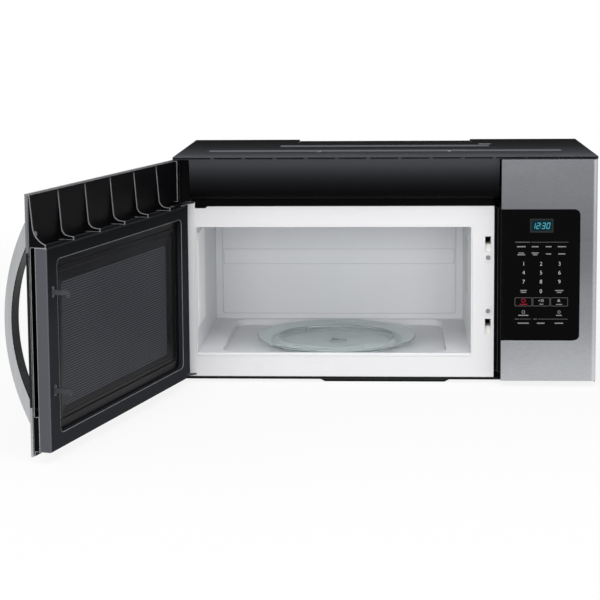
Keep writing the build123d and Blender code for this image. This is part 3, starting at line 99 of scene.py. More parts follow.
def makeSheetPaint(name, look):
    # baked paint on sheet metal: a slight orange peel breaks the gloss, and the tone drifts a little
    finish, tree, shader, place = startFinish(name, {"Specular IOR Level": look["gloss"]})
    peelSpace = addNode(tree, "Mapping", {"Vector": place, "Scale": (1 / look["peel"],) * 3}).outputs[0]
    peel = addNode(tree, "TexNoise", {"Vector": peelSpace, "Scale": 1, "Detail": 2}).outputs[0]
    cloudSpace = addNode(tree, "Mapping", {"Vector": place, "Scale": (1 / look["cloud"],) * 3}).outputs[0]
    cloud = addNode(tree, "TexNoise", {"Vector": cloudSpace, "Scale": 1, "Detail": 3}).outputs[0]
    tone = addNode(tree, "Mix", {0: cloud, 6: toLinear(look["dark"]), 7: toLinear(look["light"])},
                   data_type="RGBA").outputs[2]
    if "paintedSheenByDepth" in look:  # painted sheen by depth on what faces up, and a painted highlight on slopes
        levels, backRoughness, paintedSlopeHighlight = look["paintedSheenByDepth"]
        deep = addNode(tree, "SeparateXYZ", {"Vector": place}).outputs["Y"]
        paintedTopSheen, depth = tonesAlong(tree, deep, levels)
        facing = addNode(tree, "SeparateXYZ",
                         {"Vector": addNode(tree, "NewGeometry").outputs["Normal"]}).outputs
        top = addNode(tree, "MapRange",
                      {"Value": facing["Z"], "From Min": 0.6, "From Max": 0.95}).outputs[0]
        tone = addNode(tree, "Mix", {0: top, 6: tone, 7: paintedTopSheen}, data_type="RGBA").outputs[2]
        # the slopes between up and front, such as the ridges' front walls, get a painted highlight
        # up times frontward reaches minus a half on a slope midway between the two
        lean = addNode(tree, "Math", {0: facing["Z"], 1: facing["Y"]}, operation="MULTIPLY").outputs[0]
        slope = addNode(tree, "MapRange", {"Value": lean, "From Min": -0.15, "From Max": -0.4}).outputs[0]
        tone = addNode(tree, "Mix", {0: slope, 6: tone, 7: toLinear(paintedSlopeHighlight)},
                       data_type="RGBA").outputs[2]
    if "patch" in look:  # another tone inside a box, given by its middle and its half sizes
        patchTone, middle, half = look["patch"]
        offset = addNode(tree, "VectorMath", {0: place, 1: middle}, operation="SUBTRACT").outputs[0]
        share = addNode(tree, "VectorMath", {0: offset, 1: half}, operation="DIVIDE").outputs[0]
        size = addNode(tree, "VectorMath", {0: share}, operation="ABSOLUTE").outputs[0]
        sides = addNode(tree, "SeparateXYZ", {"Vector": size}).outputs
        widest = addNode(tree, "Math", {0: sides["X"], 1: sides["Y"]}, operation="MAXIMUM").outputs[0]
        widest = addNode(tree, "Math", {0: widest, 1: sides["Z"]}, operation="MAXIMUM").outputs[0]
        inside = addNode(tree, "MapRange", {"Value": widest, "From Min": 0.98, "From Max": 1.0, "To Min": 1,
                                            "To Max": 0}).outputs[0]
        tone = addNode(tree, "Mix", {0: inside, 6: tone, 7: toLinear(patchTone)},
                       data_type="RGBA").outputs[2]
    shine = addNode(tree, "MapRange", {"Value": cloud, **noiseSpan, "To Min": look["roughness"] - 0.04,
                                       "To Max": look["roughness"] + 0.05}).outputs[0]
    if "paintedSheenByDepth" in look:
        shine = addNode(tree, "Mix", {0: depth, 2: shine, 3: backRoughness}, data_type="FLOAT").outputs[0]
    edge = addNode(tree, "Bevel", {"Radius": look["edge"]}, samples=6).outputs[0]
    if "rim" in look:  # folded and pressed edges get a painted highlight, a paler tone
        flat = addNode(tree, "NewGeometry").outputs["True Normal"]
        bend = addNode(tree, "VectorMath", {0: edge, 1: flat}, operation="DOT_PRODUCT").outputs["Value"]
        rim = addNode(tree, "MapRange", {"Value": bend, "From Min": 0.995, "From Max": 0.8}).outputs[0]
        tone = addNode(tree, "Mix", {0: rim, 6: tone, 7: toLinear(look["rim"])},
                       data_type="RGBA").outputs[2]
    skin = addNode(tree, "Bump",
                   {"Height": peel, "Distance": look["depth"], "Strength": 0.5, "Normal": edge}).outputs[0]
    tree.links.new(tone, shader.inputs["Base Color"])
    tree.links.new(shine, shader.inputs["Roughness"])
    tree.links.new(skin, shader.inputs["Normal"])
    return finish


# black powder coat: soft sheen with a fine texture, so the top cover reads dark grey at a low angle;
# painted sheen makes it greyer towards its front, the depth entry giving painted tones by depth, the
# roughness at the back and the painted highlight tone of the slopes; rim is a painted highlight on folded
# and pressed edges
casePaint = {"dark": "#0c0c0d", "light": "#141416", "roughness": 0.6, "gloss": 0.01, "peel": 0.0025,
             "cloud": 0.12, "depth": 0.00025, "edge": 0.0025, "rim": "#5c5e62",
             "paintedSheenByDepth": (((-0.39, "#46484c"), (-0.31, "#303136"), (-0.17, "#17181a"), (0.0, "#0a0a0b")),
                            0.95, "#5e6064")}
# white appliance enamel on the front frame: even, smooth and bright
frameEnamel = {"dark": "#d6d6d8", "light": "#d9d9da", "roughness": 0.3, "gloss": 0.3, "peel": 0.006,
               "cloud": 0.15, "depth": 0.0001, "edge": 0.0012}
# light grey cavity enamel: satin, so it takes soft light far into the oven, with painted light on the
# front part of the left wall, a paler box
cavityEnamel = {"dark": "#dddee1", "light": "#e2e3e5", "roughness": 0.38, "gloss": 0.3, "peel": 0.003,
                "cloud": 0.08, "depth": 0.0002, "edge": 0.002,
                "patch": ("#fafafa", (-0.3423, -0.283, 0.1765), (0.004, 0.056, 0.0875))}
dress(makeSheetPaint("blackPowderCoat", casePaint), "outer_case", "base_plate", "blower_housing")
dress(makeSheetPaint("whiteFrameEnamel", frameEnamel), "front_frame")
# hinge brackets: the foot is enamelled with the frame, and the arm that the door covers is bare black
bracketEnamel = dict(frameEnamel, patch=("#101011", (-0.36, -0.3985, 0.2), (0.2, 0.04, 0.4)))
dress(makeSheetPaint("halfEnamelledBracket", bracketEnamel), "upper_hinge_bracket", "lower_hinge_bracket")
dress(makeSheetPaint("greyCavityEnamel", cavityEnamel), "oven_cavity")
print("painted sheet dressed")


def makeBrushedMetal(name, look):
    # scratches drawn out along one axis give the streaked sheen of brushed sheet; its tone goes by height
    finish, tree, shader, place = startFinish(name, {"Metallic": 1.0})
    turned = addNode(tree, "Mapping",
                     {"Vector": place, "Rotation": (0, 0, math.radians(look["turn"]))}).outputs[0]
    scratchSpace = addNode(tree, "Mapping",
                           {"Vector": turned, "Scale": tuple(1 / s for s in look["scratch"])}).outputs[0]
    scratch = addNode(tree, "TexNoise",
                      {"Vector": scratchSpace, "Scale": 1, "Detail": 2, "Roughness": 0.6}).outputs[0]
    bandSpace = addNode(tree, "Mapping",
                        {"Vector": turned, "Scale": tuple(1 / s for s in look["band"])}).outputs[0]
    band = addNode(tree, "TexNoise", {"Vector": bandSpace, "Scale": 1, "Detail": 3}).outputs[0]
    # tone by height: on the panel and the door's skin it is a painted reflection, palest at the bottom
    rise = addNode(tree, "SeparateXYZ", {"Vector": place}).outputs["Z"]
    ground = tonesAlong(tree, rise, look["tones"])[0]
    if "foldHighlight" in look:  # painted highlight where the sheet is folded round to the side
        facing = addNode(tree, "NewGeometry").outputs["Normal"]
        sideways = addNode(tree, "SeparateXYZ", {"Vector": facing}).outputs["X"]
        foldHighlightTone, foldHighlightShare = look["foldHighlight"]
        turn = addNode(tree, "MapRange", {"Value": sideways, "From Min": 0.06, "From Max": 0.22,
                                          "To Max": foldHighlightShare}).outputs[0]
        ground = addNode(tree, "Mix", {0: turn, 6: ground, 7: toLinear(foldHighlightTone)},
                         data_type="RGBA").outputs[2]
    streak = addNode(tree, "MapRange", {"Value": scratch, **noiseSpan, "To Min": 1 - look["contrast"],
                                        "To Max": 1 + look["contrast"]}).outputs[0]
    drift = addNode(tree, "MapRange",
                    {"Value": band, **noiseSpan, "To Min": 0.95, "To Max": 1.05}).outputs[0]
    tone = addNode(tree, "VectorMath", {0: ground, 1: streak}, operation="MULTIPLY").outputs[0]
    tone = addNode(tree, "VectorMath", {0: tone, 1: drift}, operation="MULTIPLY").outputs[0]
    shine = addNode(tree, "MapRange", {"Value": scratch, **noiseSpan, "To Min": look["roughness"] - 0.05,
                                       "To Max": look["roughness"] + 0.07}).outputs[0]
    edge = addNode(tree, "Bevel", {"Radius": look["edge"]}, samples=4).outputs[0]
    skin = addNode(tree, "Bump", {"Height": scratch, "Distance": look["depth"], "Strength": 0.3,
                                  "Normal": edge}).outputs[0]
    tree.links.new(tone, shader.inputs["Base Color"])
    tree.links.new(shine, shader.inputs["Roughness"])
    tree.links.new(skin, shader.inputs["Normal"])
    return finish


# brushed stainless of the control panel, drawn coarser than the real 0.1 mm scratches so that they show
# its tones by height are a painted reflection, palest low down; its folded edge has a painted highlight
panelSteel = {"tones": ((0, "#b9bbbe"), (0.04, "#acaeb2"), (0.094, "#999b9f"), (0.2, "#7c7e82"),
                        (0.257, "#727478"), (0.32, "#7a7c80"), (0.407, "#84868a")),
              "foldHighlight": ("#e8e8ea", 0.3), "contrast": 0.07, "roughness": 0.36, "turn": 0,
              "scratch": (0.008, 0.008, 0.0014), "band": (0.12, 0.12, 0.06), "depth": 0.00002,
              "edge": 0.0012}
# satin stainless of the bow handle, brushed along its length
handleSteel = {"tones": ((0, "#c0c2c4"), (0.4, "#aeb0b2")), "contrast": 0.06, "roughness": 0.3, "turn": 0,
               "scratch": (0.0016, 0.0016, 0.08), "band": (0.02, 0.02, 0.2), "depth": 0.00001,
               "edge": 0.0008}
# bright zinc plating on screws, pins and spring: bright with a faint unevenness
zincPlate = {"tones": ((0, "#8c8e90"), (0.4, "#949698")), "contrast": 0.1, "roughness": 0.3, "turn": 0,
             "scratch": (0.0008, 0.0008, 0.0008), "band": (0.006, 0.006, 0.006), "depth": 0.00002,
             "edge": 0.0004}
# mill-finish aluminium of the filters, fins and can: pale and a little dull
millAluminium = {"tones": ((0, "#b2b4b6"), (0.4, "#babcbe")), "contrast": 0.1, "roughness": 0.42, "turn": 0,
                 "scratch": (0.02, 0.001, 0.001), "band": (0.05, 0.05, 0.05), "depth": 0.00003,
                 "edge": 0.0006}
dress(makeBrushedMetal("brushedPanelStainless", panelSteel), "control_panel")
dress(makeBrushedMetal("brushedDoorStainless", dict(panelSteel, turn=doorTurn - 90)), "door_skin")
dress(makeBrushedMetal("satinHandleStainless", handleSteel), "handle")
dress(makeBrushedMetal("zincPlatedSteel", zincPlate), "latch_screws", "case_screws", "hinge_pins",
      "handle_screws", "latch_spring", "magnetron")
dress(makeBrushedMetal("millAluminium", millAluminium), "grease_filter_left", "grease_filter_right",
      "magnetron_fins", "hv_capacitor")


def makeZincSheet(name, look):
    # hot-dip zinc: crystals about a centimetre across, each with its own tone and gloss
    finish, tree, shader, place = startFinish(name, {"Metallic": 1.0})
    cellSpace = addNode(tree, "Mapping", {"Vector": place, "Scale": (1 / look["spangle"],) * 3}).outputs[0]
    cells = addNode(tree, "TexVoronoi", {"Vector": cellSpace, "Scale": 1}).outputs["Color"]
    tone = addNode(tree, "SeparateColor", {"Color": cells}).outputs[0]
    colour = addNode(tree, "Mix", {0: tone, 6: toLinear(look["dark"]), 7: toLinear(look["light"])},
                     data_type="RGBA").outputs[2]
    shine = addNode(tree, "MapRange", {"Value": tone, "To Min": look["roughness"] - 0.06,
                                       "To Max": look["roughness"] + 0.1}).outputs[0]
    grainSpace = addNode(tree, "Mapping", {"Vector": place, "Scale": (1 / look["grain"],) * 3}).outputs[0]
    grain = addNode(tree, "TexNoise", {"Vector": grainSpace, "Scale": 1}).outputs[0]
    skin = addNode(tree, "Bump", {"Height": grain, "Distance": look["depth"], "Strength": 0.3}).outputs[0]
    tree.links.new(colour, shader.inputs["Base Color"])
    tree.links.new(shine, shader.inputs["Roughness"])
    tree.links.new(skin, shader.inputs["Normal"])
    return finish


# zinc-coated sheet of the back and the small motors: a dull mottle of pale and darker crystals
zincSheet = {"dark": "#96999c", "light": "#abaeb0", "roughness": 0.42, "spangle": 0.01, "grain": 0.0015,
             "depth": 0.00004}
dress(makeZincSheet("spangledZincSheet", zincSheet), "rear_panel", "waveguide", "blower_motor",
      "turntable_motor")
print("bare metals dressed")


def makeMoulding(name, look):
    # moulded plastic: a fine spark-eroded grain softens the highlight; the tone fades with height, a
    # painted reflection on the air guide and a painted shade on the door's frame
    finish, tree, shader, place = startFinish(name, {"Specular IOR Level": look["gloss"]})
    grainSpace = addNode(tree, "Mapping", {"Vector": place, "Scale": (1 / look["grain"],) * 3}).outputs[0]
    grain = addNode(tree, "TexNoise", {"Vector": grainSpace, "Scale": 1, "Detail": 3}).outputs[0]
    rise = addNode(tree, "SeparateXYZ", {"Vector": place}).outputs["Z"]
    height = addNode(tree, "MapRange",
                     {"Value": rise, "From Min": look["fade"][0], "From Max": look["fade"][1]}).outputs[0]
    height = addNode(tree, "Math", {0: height, 1: look["fade"][2]}, operation="POWER").outputs[0]
    tone = addNode(tree, "Mix", {0: height, 6: toLinear(look["dark"]), 7: toLinear(look["light"])},
                   data_type="RGBA").outputs[2]
    shine = addNode(tree, "MapRange", {"Value": grain, **noiseSpan, "To Min": look["roughness"] - 0.04,
                                       "To Max": look["roughness"] + 0.06}).outputs[0]
    edge = addNode(tree, "Bevel", {"Radius": look["edge"]}, samples=4).outputs[0]
    if "end" in look:  # painted highlight on all past this reach, measured in the open door's direction
        turned = addNode(tree, "Mapping",
                         {"Vector": place, "Rotation": (0, 0, math.radians(doorTurn))}).outputs[0]
        reach = addNode(tree, "SeparateXYZ", {"Vector": turned}).outputs["X"]
        end = addNode(tree, "Math", {0: reach, 1: look["end"][1]}, operation="GREATER_THAN").outputs[0]
        tone = addNode(tree, "Mix", {0: end, 6: tone, 7: toLinear(look["end"][0])},
                       data_type="RGBA").outputs[2]
    # outer edges, found by looking inwards, get a painted highlight: a paler tone
    if "rim" in look:
        inside = addNode(tree, "AmbientOcclusion", {"Distance": look["edge"] * 1.4}, inside=True,
                         samples=6).outputs["AO"]
        rim = addNode(tree, "MapRange", {"Value": inside, "From Min": 0.35, "From Max": 0.9, "To Min": 1,
                                         "To Max": 0}).outputs[0]
        tone = addNode(tree, "Mix", {0: rim, 6: tone, 7: toLinear(look["rim"])},
                       data_type="RGBA").outputs[2]
    skin = addNode(tree, "Bump",
                   {"Height": grain, "Distance": look["depth"], "Strength": 0.5, "Normal": edge}).outputs[0]
    tree.links.new(tone, shader.inputs["Base Color"])
    tree.links.new(shine, shader.inputs["Roughness"])
    tree.links.new(skin, shader.inputs["Normal"])
    return finish


# fade gives the heights between which the tone goes from dark to light, and how late it turns
# black ABS of the door's vent moulding: close to black inside, with a painted highlight on its rib edges
ventMoulding = {"dark": "#060607", "light": "#08080a", "roughness": 0.4, "gloss": 0.04, "grain": 0.0012,
                "depth": 0.00006, "edge": 0.0009, "fade": (0.0, 0.4, 1), "rim": "#c8cacc"}
# black ABS of the door's inner frame: satin, with painted shade darkening its upper part and painted
# highlights on its closing edge and its outer edges
frameMoulding = {"dark": "#26272b", "light": "#0c0d0e", "roughness": 0.6, "gloss": 0.02, "grain": 0.0012,
                 "depth": 0.00006, "edge": 0.0009, "fade": (0.2, 0.33, 1), "rim": "#c4c6c8",
                 "end": ("#4c4d52", 1.0285)}
# black ABS edge of the panel's carrier, whose painted edge highlight shows as a grey line beside the glass
carrierMoulding = {"dark": "#08080a", "light": "#0c0c0d", "roughness": 0.4, "gloss": 0.03, "grain": 0.0012,
                   "depth": 0.00006, "edge": 0.0005, "fade": (0.0, 0.4, 1), "rim": "#8c8c8e"}
# black ABS of the small fittings, plain satin
fittingMoulding = {"dark": "#0c0c0d", "light": "#101011", "roughness": 0.4, "gloss": 0.1, "grain": 0.0012,
                   "depth": 0.00006, "edge": 0.001, "fade": (0.0, 0.4, 1)}
# glossy black ABS of the air guide over the oven, with a painted reflection making it greyer towards its
# top
shroudMoulding = {"dark": "#040405", "light": "#4a4c50", "roughness": 0.3, "gloss": 0.03, "grain": 0.004,
                  "depth": 0.00002, "edge": 0.001, "fade": (0.325, 0.405, 3.0)}
# white ABS of the latch board: plain, with a soft shine
whiteMoulding = {"dark": "#d6d6d3", "light": "#e0e0dd", "roughness": 0.45, "gloss": 0.4, "grain": 0.0015,
                 "depth": 0.00006, "edge": 0.0008, "fade": (0.0, 0.4, 1)}
# grey nylon of the fans: dull, with a blurred highlight
greyMoulding = {"dark": "#5c5d5f", "light": "#6a6b6d", "roughness": 0.5, "gloss": 0.4, "grain": 0.0015,
                "depth": 0.00006, "edge": 0.0008, "fade": (0.0, 0.4, 1)}
# glazed ceramic of the lamp sockets: cream, with a small clear highlight
glazedCeramic = {"dark": "#dcdad2", "light": "#e8e6de", "roughness": 0.2, "gloss": 0.5, "grain": 0.003,
                 "depth": 0.00004, "edge": 0.0008, "fade": (0.0, 0.4, 1)}
# dark nylon of the latch hooks, which shows grey beside the black frame
latchNylon = dict(fittingMoulding, dark="#38393c", light="#3e3f43")
# pale nylon of the coupler, the ring and its rollers, which reads light grey through the tray
paleNylon = dict(greyMoulding, dark="#8c9092", light="#969a9c")
dress(makeMoulding("ventBlackAbs", ventMoulding), "door_frame")
dress(makeMoulding("satinBlackAbs", frameMoulding), "choke_frame")
dress(makeMoulding("darkGreyNylon", latchNylon), "door_latch")
dress(makeMoulding("carrierBlackAbs", carrierMoulding), "panel_frame")
dress(makeMoulding("plainBlackAbs", fittingMoulding), "lamp_cover", "interlock_switches", "hv_diode",
      "cord_gland")
dress(makeMoulding("glossyBlackAbs", shroudMoulding), "front_shroud")
dress(makeMoulding("whiteMouldedAbs", whiteMoulding), "latch_board")
dress(makeMoulding("greyMouldedNylon", greyMoulding), "fan_housing", "fan_blades", "blower_wheels")
dress(makeMoulding("paleMouldedNylon", paleNylon), "drive_coupler", "roller_ring", "roller_1", "roller_2",
      "roller_3")
dress(makeMoulding("glazedCeramic", glazedCeramic), "lamp_sockets", "lamp_holder")
print("plastics dressed")


def makeGlass(name, look):
    # smooth glass, clear or printed from behind: a faint haze varies its tone and gloss
    hazeSize = 0.05
    finish, tree, shader, place = startFinish(name, {"IOR": look["ior"],
                                                     "Transmission Weight": look["clear"],
                                                     "Specular IOR Level": look["gloss"]})
    hazeSpace = addNode(tree, "Mapping", {"Vector": place, "Scale": (1 / hazeSize,) * 3}).outputs[0]
    haze = addNode(tree, "TexNoise", {"Vector": hazeSpace, "Scale": 1}).outputs[0]
    tone = addNode(tree, "Mix", {0: haze, 6: toLinear(look["dark"]), 7: toLinear(look["light"])},
                   data_type="RGBA").outputs[2]
    shine = addNode(tree, "MapRange", {"Value": haze, "To Min": look["roughness"],
                                       "To Max": look["roughness"] + 0.02}).outputs[0]
    tree.links.new(tone, shader.inputs["Base Color"])
    tree.links.new(shine, shader.inputs["Roughness"])
    return finish


# toughened soda-lime glass of the tray: a green-blue tint that gathers in the rim; its low IOR lets the
# ring and the coupler show through it undistorted
trayGlass = {"dark": "#ebf4f2", "light": "#eef6f4", "roughness": 0.04, "clear": 0.8, "ior": 1.1,
             "gloss": 0.5}
# slightly frosted lamp glass, so that bulbs and lens read pale
bulbGlass = {"dark": "#e6e6e2", "light": "#f2f2ee", "roughness": 0.12, "clear": 0.9, "ior": 1.5,
             "gloss": 0.5}
# back-printed glass of the keys: nearly black, with little reflection in soft light
keyGlass = {"dark": "#050506", "light": "#080808", "roughness": 0.1, "clear": 0.0, "ior": 1.5,
            "gloss": 0.02}
# back-printed glass of the door's window: near black, with a sharper reflection
doorGlass = {"dark": "#08090a", "light": "#0c0d0e", "roughness": 0.05, "clear": 0.0, "ior": 1.5,
             "gloss": 0.2}
# display's own glass, a very dark teal
displayGlass = {"dark": "#03161b", "light": "#05222a", "roughness": 0.08, "clear": 0.0, "ior": 1.5,
                "gloss": 0.2}
dress(makeGlass("greenTintedTrayGlass", trayGlass), "glass_tray")
dress(makeGlass("lampGlass", bulbGlass), "lamp_lens", "cooktop_lamps", "cavity_lamp")
dress(makeGlass("backPrintedKeyGlass", keyGlass), "key_glass")
dress(makeGlass("backPrintedDoorGlass", doorGlass), "door_glass")
dress(makeGlass("tealDisplayGlass", displayGlass), "display")
print("glass dressed")


def makeLayers(name, look):
    # thin sheets or turns of wire stacked along one axis, seen as fine dark lines
    finish, tree, shader, place = startFinish(name, {"Metallic": look["metallic"],
                                                     "Roughness": look["roughness"]})
    space = addNode(tree, "Mapping", {"Vector": place, "Scale": (1 / look["pitch"],) * 3}).outputs[0]
    # a wave texture makes 20 radians of its scale, so this draws a line at every other step
    lines = addNode(tree, "TexWave",
                    {"Vector": space, "Scale": 0.5 / math.pi, "Distortion": look["wander"]},
                    bands_direction=look["along"]).outputs["Fac"]
    tone = addNode(tree, "Mix", {0: lines, 6: toLinear(look["dark"]), 7: toLinear(look["light"])},
                   data_type="RGBA").outputs[2]
    skin = addNode(tree, "Bump",
                   {"Height": lines, "Distance": look["pitch"] * 0.2, "Strength": 0.6}).outputs[0]
    tree.links.new(tone, shader.inputs["Base Color"])
    tree.links.new(skin, shader.inputs["Normal"])
    return finish


# varnished steel sheets of the transformer and the fan's motor: dark, with lines across the stack
coreSheets = {"dark": "#26262a", "light": "#4a4a50", "metallic": 0.8, "roughness": 0.45, "pitch": 0.002,
              "wander": 0.2, "along": "Y"}
# varnished copper wire: warm and bright, with a dark line between turns
windingWire = {"dark": "#7a3c14", "light": "#c67a3a", "metallic": 0.9, "roughness": 0.3, "pitch": 0.0022,
               "wander": 0.3, "along": "Z"}
dress(makeLayers("varnishedCoreSheets", coreSheets), "transformer_core", "fan_motor")
dress(makeLayers("varnishedCopperWire", windingWire), "transformer_windings")


def makeFlecked(name, look):
    # small spots scattered over a ground: mica flakes, charcoal granules, soldered points, punched holes
    finish, tree, shader, place = startFinish(name, {"Roughness": look["roughness"],
                                                     "Specular IOR Level": look["gloss"]})
    space = addNode(tree, "Mapping", {"Vector": place, "Scale": (1 / look["fleck"],) * 3}).outputs[0]
    distance = addNode(tree, "TexVoronoi",
                       {"Vector": space, "Scale": 1, "Randomness": look["scatter"]}).outputs["Distance"]
    near = addNode(tree, "MapRange", {"Value": distance, "From Min": 0.1, "From Max": 0.6, "To Min": 1,
                                      "To Max": 0}).outputs[0]
    tone = addNode(tree, "Mix", {0: near, 6: toLinear(look["ground"]), 7: toLinear(look["spot"])},
                   data_type="RGBA").outputs[2]
    skin = addNode(tree, "Bump", {"Height": near, "Distance": look["depth"], "Strength": 0.6}).outputs[0]
    tree.links.new(tone, shader.inputs["Base Color"])
    tree.links.new(skin, shader.inputs["Normal"])
    return finish


# the board's joints and the screen's holes are drawn coarser than real, so that they show
# mica sheet over the waveguide: pale grey with slightly paler flakes
micaSheet = {"ground": "#cbcbca", "spot": "#d4d4d2", "roughness": 0.35, "gloss": 0.5, "fleck": 0.006,
             "scatter": 1.0, "depth": 0.0001}
# charcoal granules behind the filter's net: dead black with a rough, dotted surface
charcoalBed = {"ground": "#0c0c0c", "spot": "#2c2c2e", "roughness": 0.8, "gloss": 0.3, "fleck": 0.003,
               "scatter": 1.0, "depth": 0.001}
# green glass-fibre laminate, dotted with soldered joints
boardLaminate = {"ground": "#124a2a", "spot": "#b9bdb4", "roughness": 0.35, "gloss": 0.5, "fleck": 0.007,
                 "scatter": 1.0, "depth": 0.0002}
# black painted steel screen, with darker holes in even rows
screenHoles = {"ground": "#2a2a2d", "spot": "#050506", "roughness": 0.4, "gloss": 0.3, "fleck": 0.0034,
               "scatter": 0.0, "depth": 0.0003}
dress(makeFlecked("micaSheet", micaSheet), "waveguide_cover")
dress(makeFlecked("charcoalBed", charcoalBed), "charcoal_filter")
dress(makeFlecked("greenBoardLaminate", boardLaminate), "control_board", "power_board")
dress(makeFlecked("perforatedScreenSheet", screenHoles), "door_screen")
print("electrical finishes dressed")


def startPiece():
    # leaves nothing selected, so that an operator works on the new piece alone
    if bpy.context.object and bpy.context.object.mode != "OBJECT":
        bpy.ops.object.mode_set(mode="OBJECT")
    bpy.ops.object.select_all(action="DESELECT")


def pickFaces(piece, keep):
    # selects the faces that keep accepts, in edit mode, by centre and normal
    bpy.ops.object.mode_set(mode="EDIT")
    bpy.ops.mesh.select_mode(type="FACE")
    bpy.ops.mesh.select_all(action="DESELECT")
    bpy.ops.object.mode_set(mode="OBJECT")
    for face in piece.data.polygons:
        face.select = keep(face.center, face.normal)
    bpy.ops.object.mode_set(mode="EDIT")


def faceOutwards():
    # turns every face of the piece in edit mode outwards
    bpy.ops.mesh.select_all(action="SELECT")
    bpy.ops.mesh.normals_make_consistent(inside=False)


def joinPieces(pieces):
    # makes one piece of many, which keep their finishes
    startPiece()
    for piece in pieces:
        piece.select_set(True)
    bpy.context.view_layer.objects.active = pieces[0]
    bpy.ops.object.join()
    return bpy.context.object


def settle(piece, name, body, move=None, finishes=()):
    # puts the piece's place into its mesh, names it and lets it ride on its body
    if bpy.context.object.mode != "OBJECT":
        bpy.ops.object.mode_set(mode="OBJECT")
    piece.name = name
    piece.data.transform(piece.matrix_world if move is None else move @ piece.matrix_world)
    piece.matrix_world = Matrix.Identity(4)
    for finish in finishes:
        piece.data.materials.append(finish)
    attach(piece, body)


def makeScreenFilm(name, look):
    # black painted sheet behind a clear film: its holes run together into fine, slightly wavy rows
    finish, tree, shader, place = startFinish(name, {"Roughness": look["roughness"],
                                                     "Specular IOR Level": look["gloss"]})
    rowScale = (1 / look["wave"], 1 / look["wave"], 1 / look["rowStep"])
    rowSpace = addNode(tree, "Mapping", {"Vector": place, "Scale": rowScale}).outputs[0]
    # a wave texture makes 20 radians of its scale, so this gives one row to each step
    oneRow = math.pi / 10
    rows = addNode(tree, "TexWave", {"Vector": rowSpace, "Scale": oneRow,
                                     "Distortion": look["wander"], "Detail": 1},
                   bands_direction="Z").outputs["Fac"]
    sheetShare = addNode(tree, "MapRange", {"Value": rows, "From Min": 0.2, "From Max": 0.8}).outputs[0]
    cloudSpace = addNode(tree, "Mapping", {"Vector": place, "Scale": (1 / look["cloud"],) * 3}).outputs[0]
    cloud = addNode(tree, "TexNoise", {"Vector": cloudSpace, "Scale": 1, "Detail": 2}).outputs[0]
    sheet = addNode(tree, "Mix", {0: cloud, 6: toLinear(look["dark"]), 7: toLinear(look["light"])},
                    data_type="RGBA").outputs[2]
    tone = addNode(tree, "Mix", {0: sheetShare, 6: toLinear(look["hole"]), 7: sheet},
                   data_type="RGBA").outputs[2]
    tree.links.new(tone, shader.inputs["Base Color"])
    return finish


# clear film pressed over the screen: a flat rim, a step, then a shallow slope down to the perforated field;
# both places are metres from the hinge axis and from the bottom of the door
filmShape = {"centre": (0.2925, 0.16575, -0.0094), "width": 0.4904, "height": 0.2679, "corner": 0.01,
             "rings": ((0.013, 0.0), (0.0006, -0.0012), (0.002, 0.0), (0.0008, 0.0022), (0.006, 0.0),
                       (0.001, 0.0008), (0.002, 0.0)), "field": (0.095, 0.503, 0.065, 0.260),
             "fall": 0.0009, "thickness": 0.0004}
# the field's rows are drawn 4 mm apart, twice the real step of its holes, so that they show
screenSheet = {"dark": "#3c3e43", "light": "#4c4e53", "hole": "#26272a", "rowStep": 0.004, "wave": 0.02,
               "wander": 1.5, "cloud": 0.15, "roughness": 0.5, "gloss": 0.04}
# the film's rim over black print: nearly black, and glossier than the field
filmRim = {"dark": "#0c0c0e", "light": "#101012", "roughness": 0.3, "clear": 0.0, "ior": 1.5, "gloss": 0.06}

startPiece()
bpy.ops.mesh.primitive_plane_add(size=1, location=(0, 0, 0))
film = bpy.context.object
film.data.transform(Matrix.Diagonal((filmShape["width"], filmShape["height"], 1, 1)))
bpy.ops.object.mode_set(mode="EDIT")
bpy.ops.mesh.select_all(action="SELECT")
bpy.ops.mesh.bevel(offset=filmShape["corner"], segments=5, affect="VERTICES")
bpy.ops.mesh.delete(type="ONLY_FACE")
bpy.ops.mesh.select_mode(type="EDGE")
bpy.ops.mesh.select_all(action="SELECT")
size = [filmShape["width"], filmShape["height"]]
# each ring is drawn from the last: so far in, and so far down into the door
for inward, down in filmShape["rings"]:
    bpy.ops.mesh.extrude_edges_move(TRANSFORM_OT_translate={"value": (0, 0, down)})
    bpy.ops.transform.resize(value=((size[0] - 2 * inward) / size[0], (size[1] - 2 * inward) / size[1], 1))
    size = [span - 2 * inward for span in size]
lowU, highU, lowV, highV = filmShape["field"]
slide = ((lowU + highU) / 2 - filmShape["centre"][0], (lowV + highV) / 2 - filmShape["centre"][1],
         filmShape["fall"])
bpy.ops.mesh.extrude_edges_move(TRANSFORM_OT_translate={"value": slide})
bpy.ops.transform.resize(value=((highU - lowU) / size[0], (highV - lowV) / size[1], 1))
bpy.ops.mesh.edge_face_add()
bpy.ops.object.mode_set(mode="OBJECT")
for face in film.data.polygons:
    face.material_index = int(face.select)  # the middle, still selected, is the perforated field
solid = film.modifiers.new("thickness", "SOLIDIFY")
solid.thickness = filmShape["thickness"]
solid.offset = 0
bpy.ops.object.modifier_apply(modifier="thickness")
bpy.ops.object.mode_set(mode="EDIT")
faceOutwards()
settle(film, "screenFilm", "door", doorMatrix @ Matrix.Translation(filmShape["centre"]),
       (makeGlass("clearDarkFilm", filmRim), makeScreenFilm("perforatedBlackSheet", screenSheet)))
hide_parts("inner_film")
print("screen film made")


def makeInk(name, look):
    # screen-printed ink: matt, with a faint unevenness where the ink lies thinner
    wearSize = 0.0015
    finish, tree, shader, place = startFinish(name, {"Roughness": 0.55, "Specular IOR Level": 0.1})
    space = addNode(tree, "Mapping", {"Vector": place, "Scale": (1 / wearSize,) * 3}).outputs[0]
    wear = addNode(tree, "TexNoise", {"Vector": space, "Scale": 1, "Detail": 2}).outputs[0]
    tone = addNode(tree, "Mix", {0: wear, 6: toLinear(look["dark"]), 7: toLinear(look["light"])},
                   data_type="RGBA").outputs[2]
    tree.links.new(tone, shader.inputs["Base Color"])
    return finish


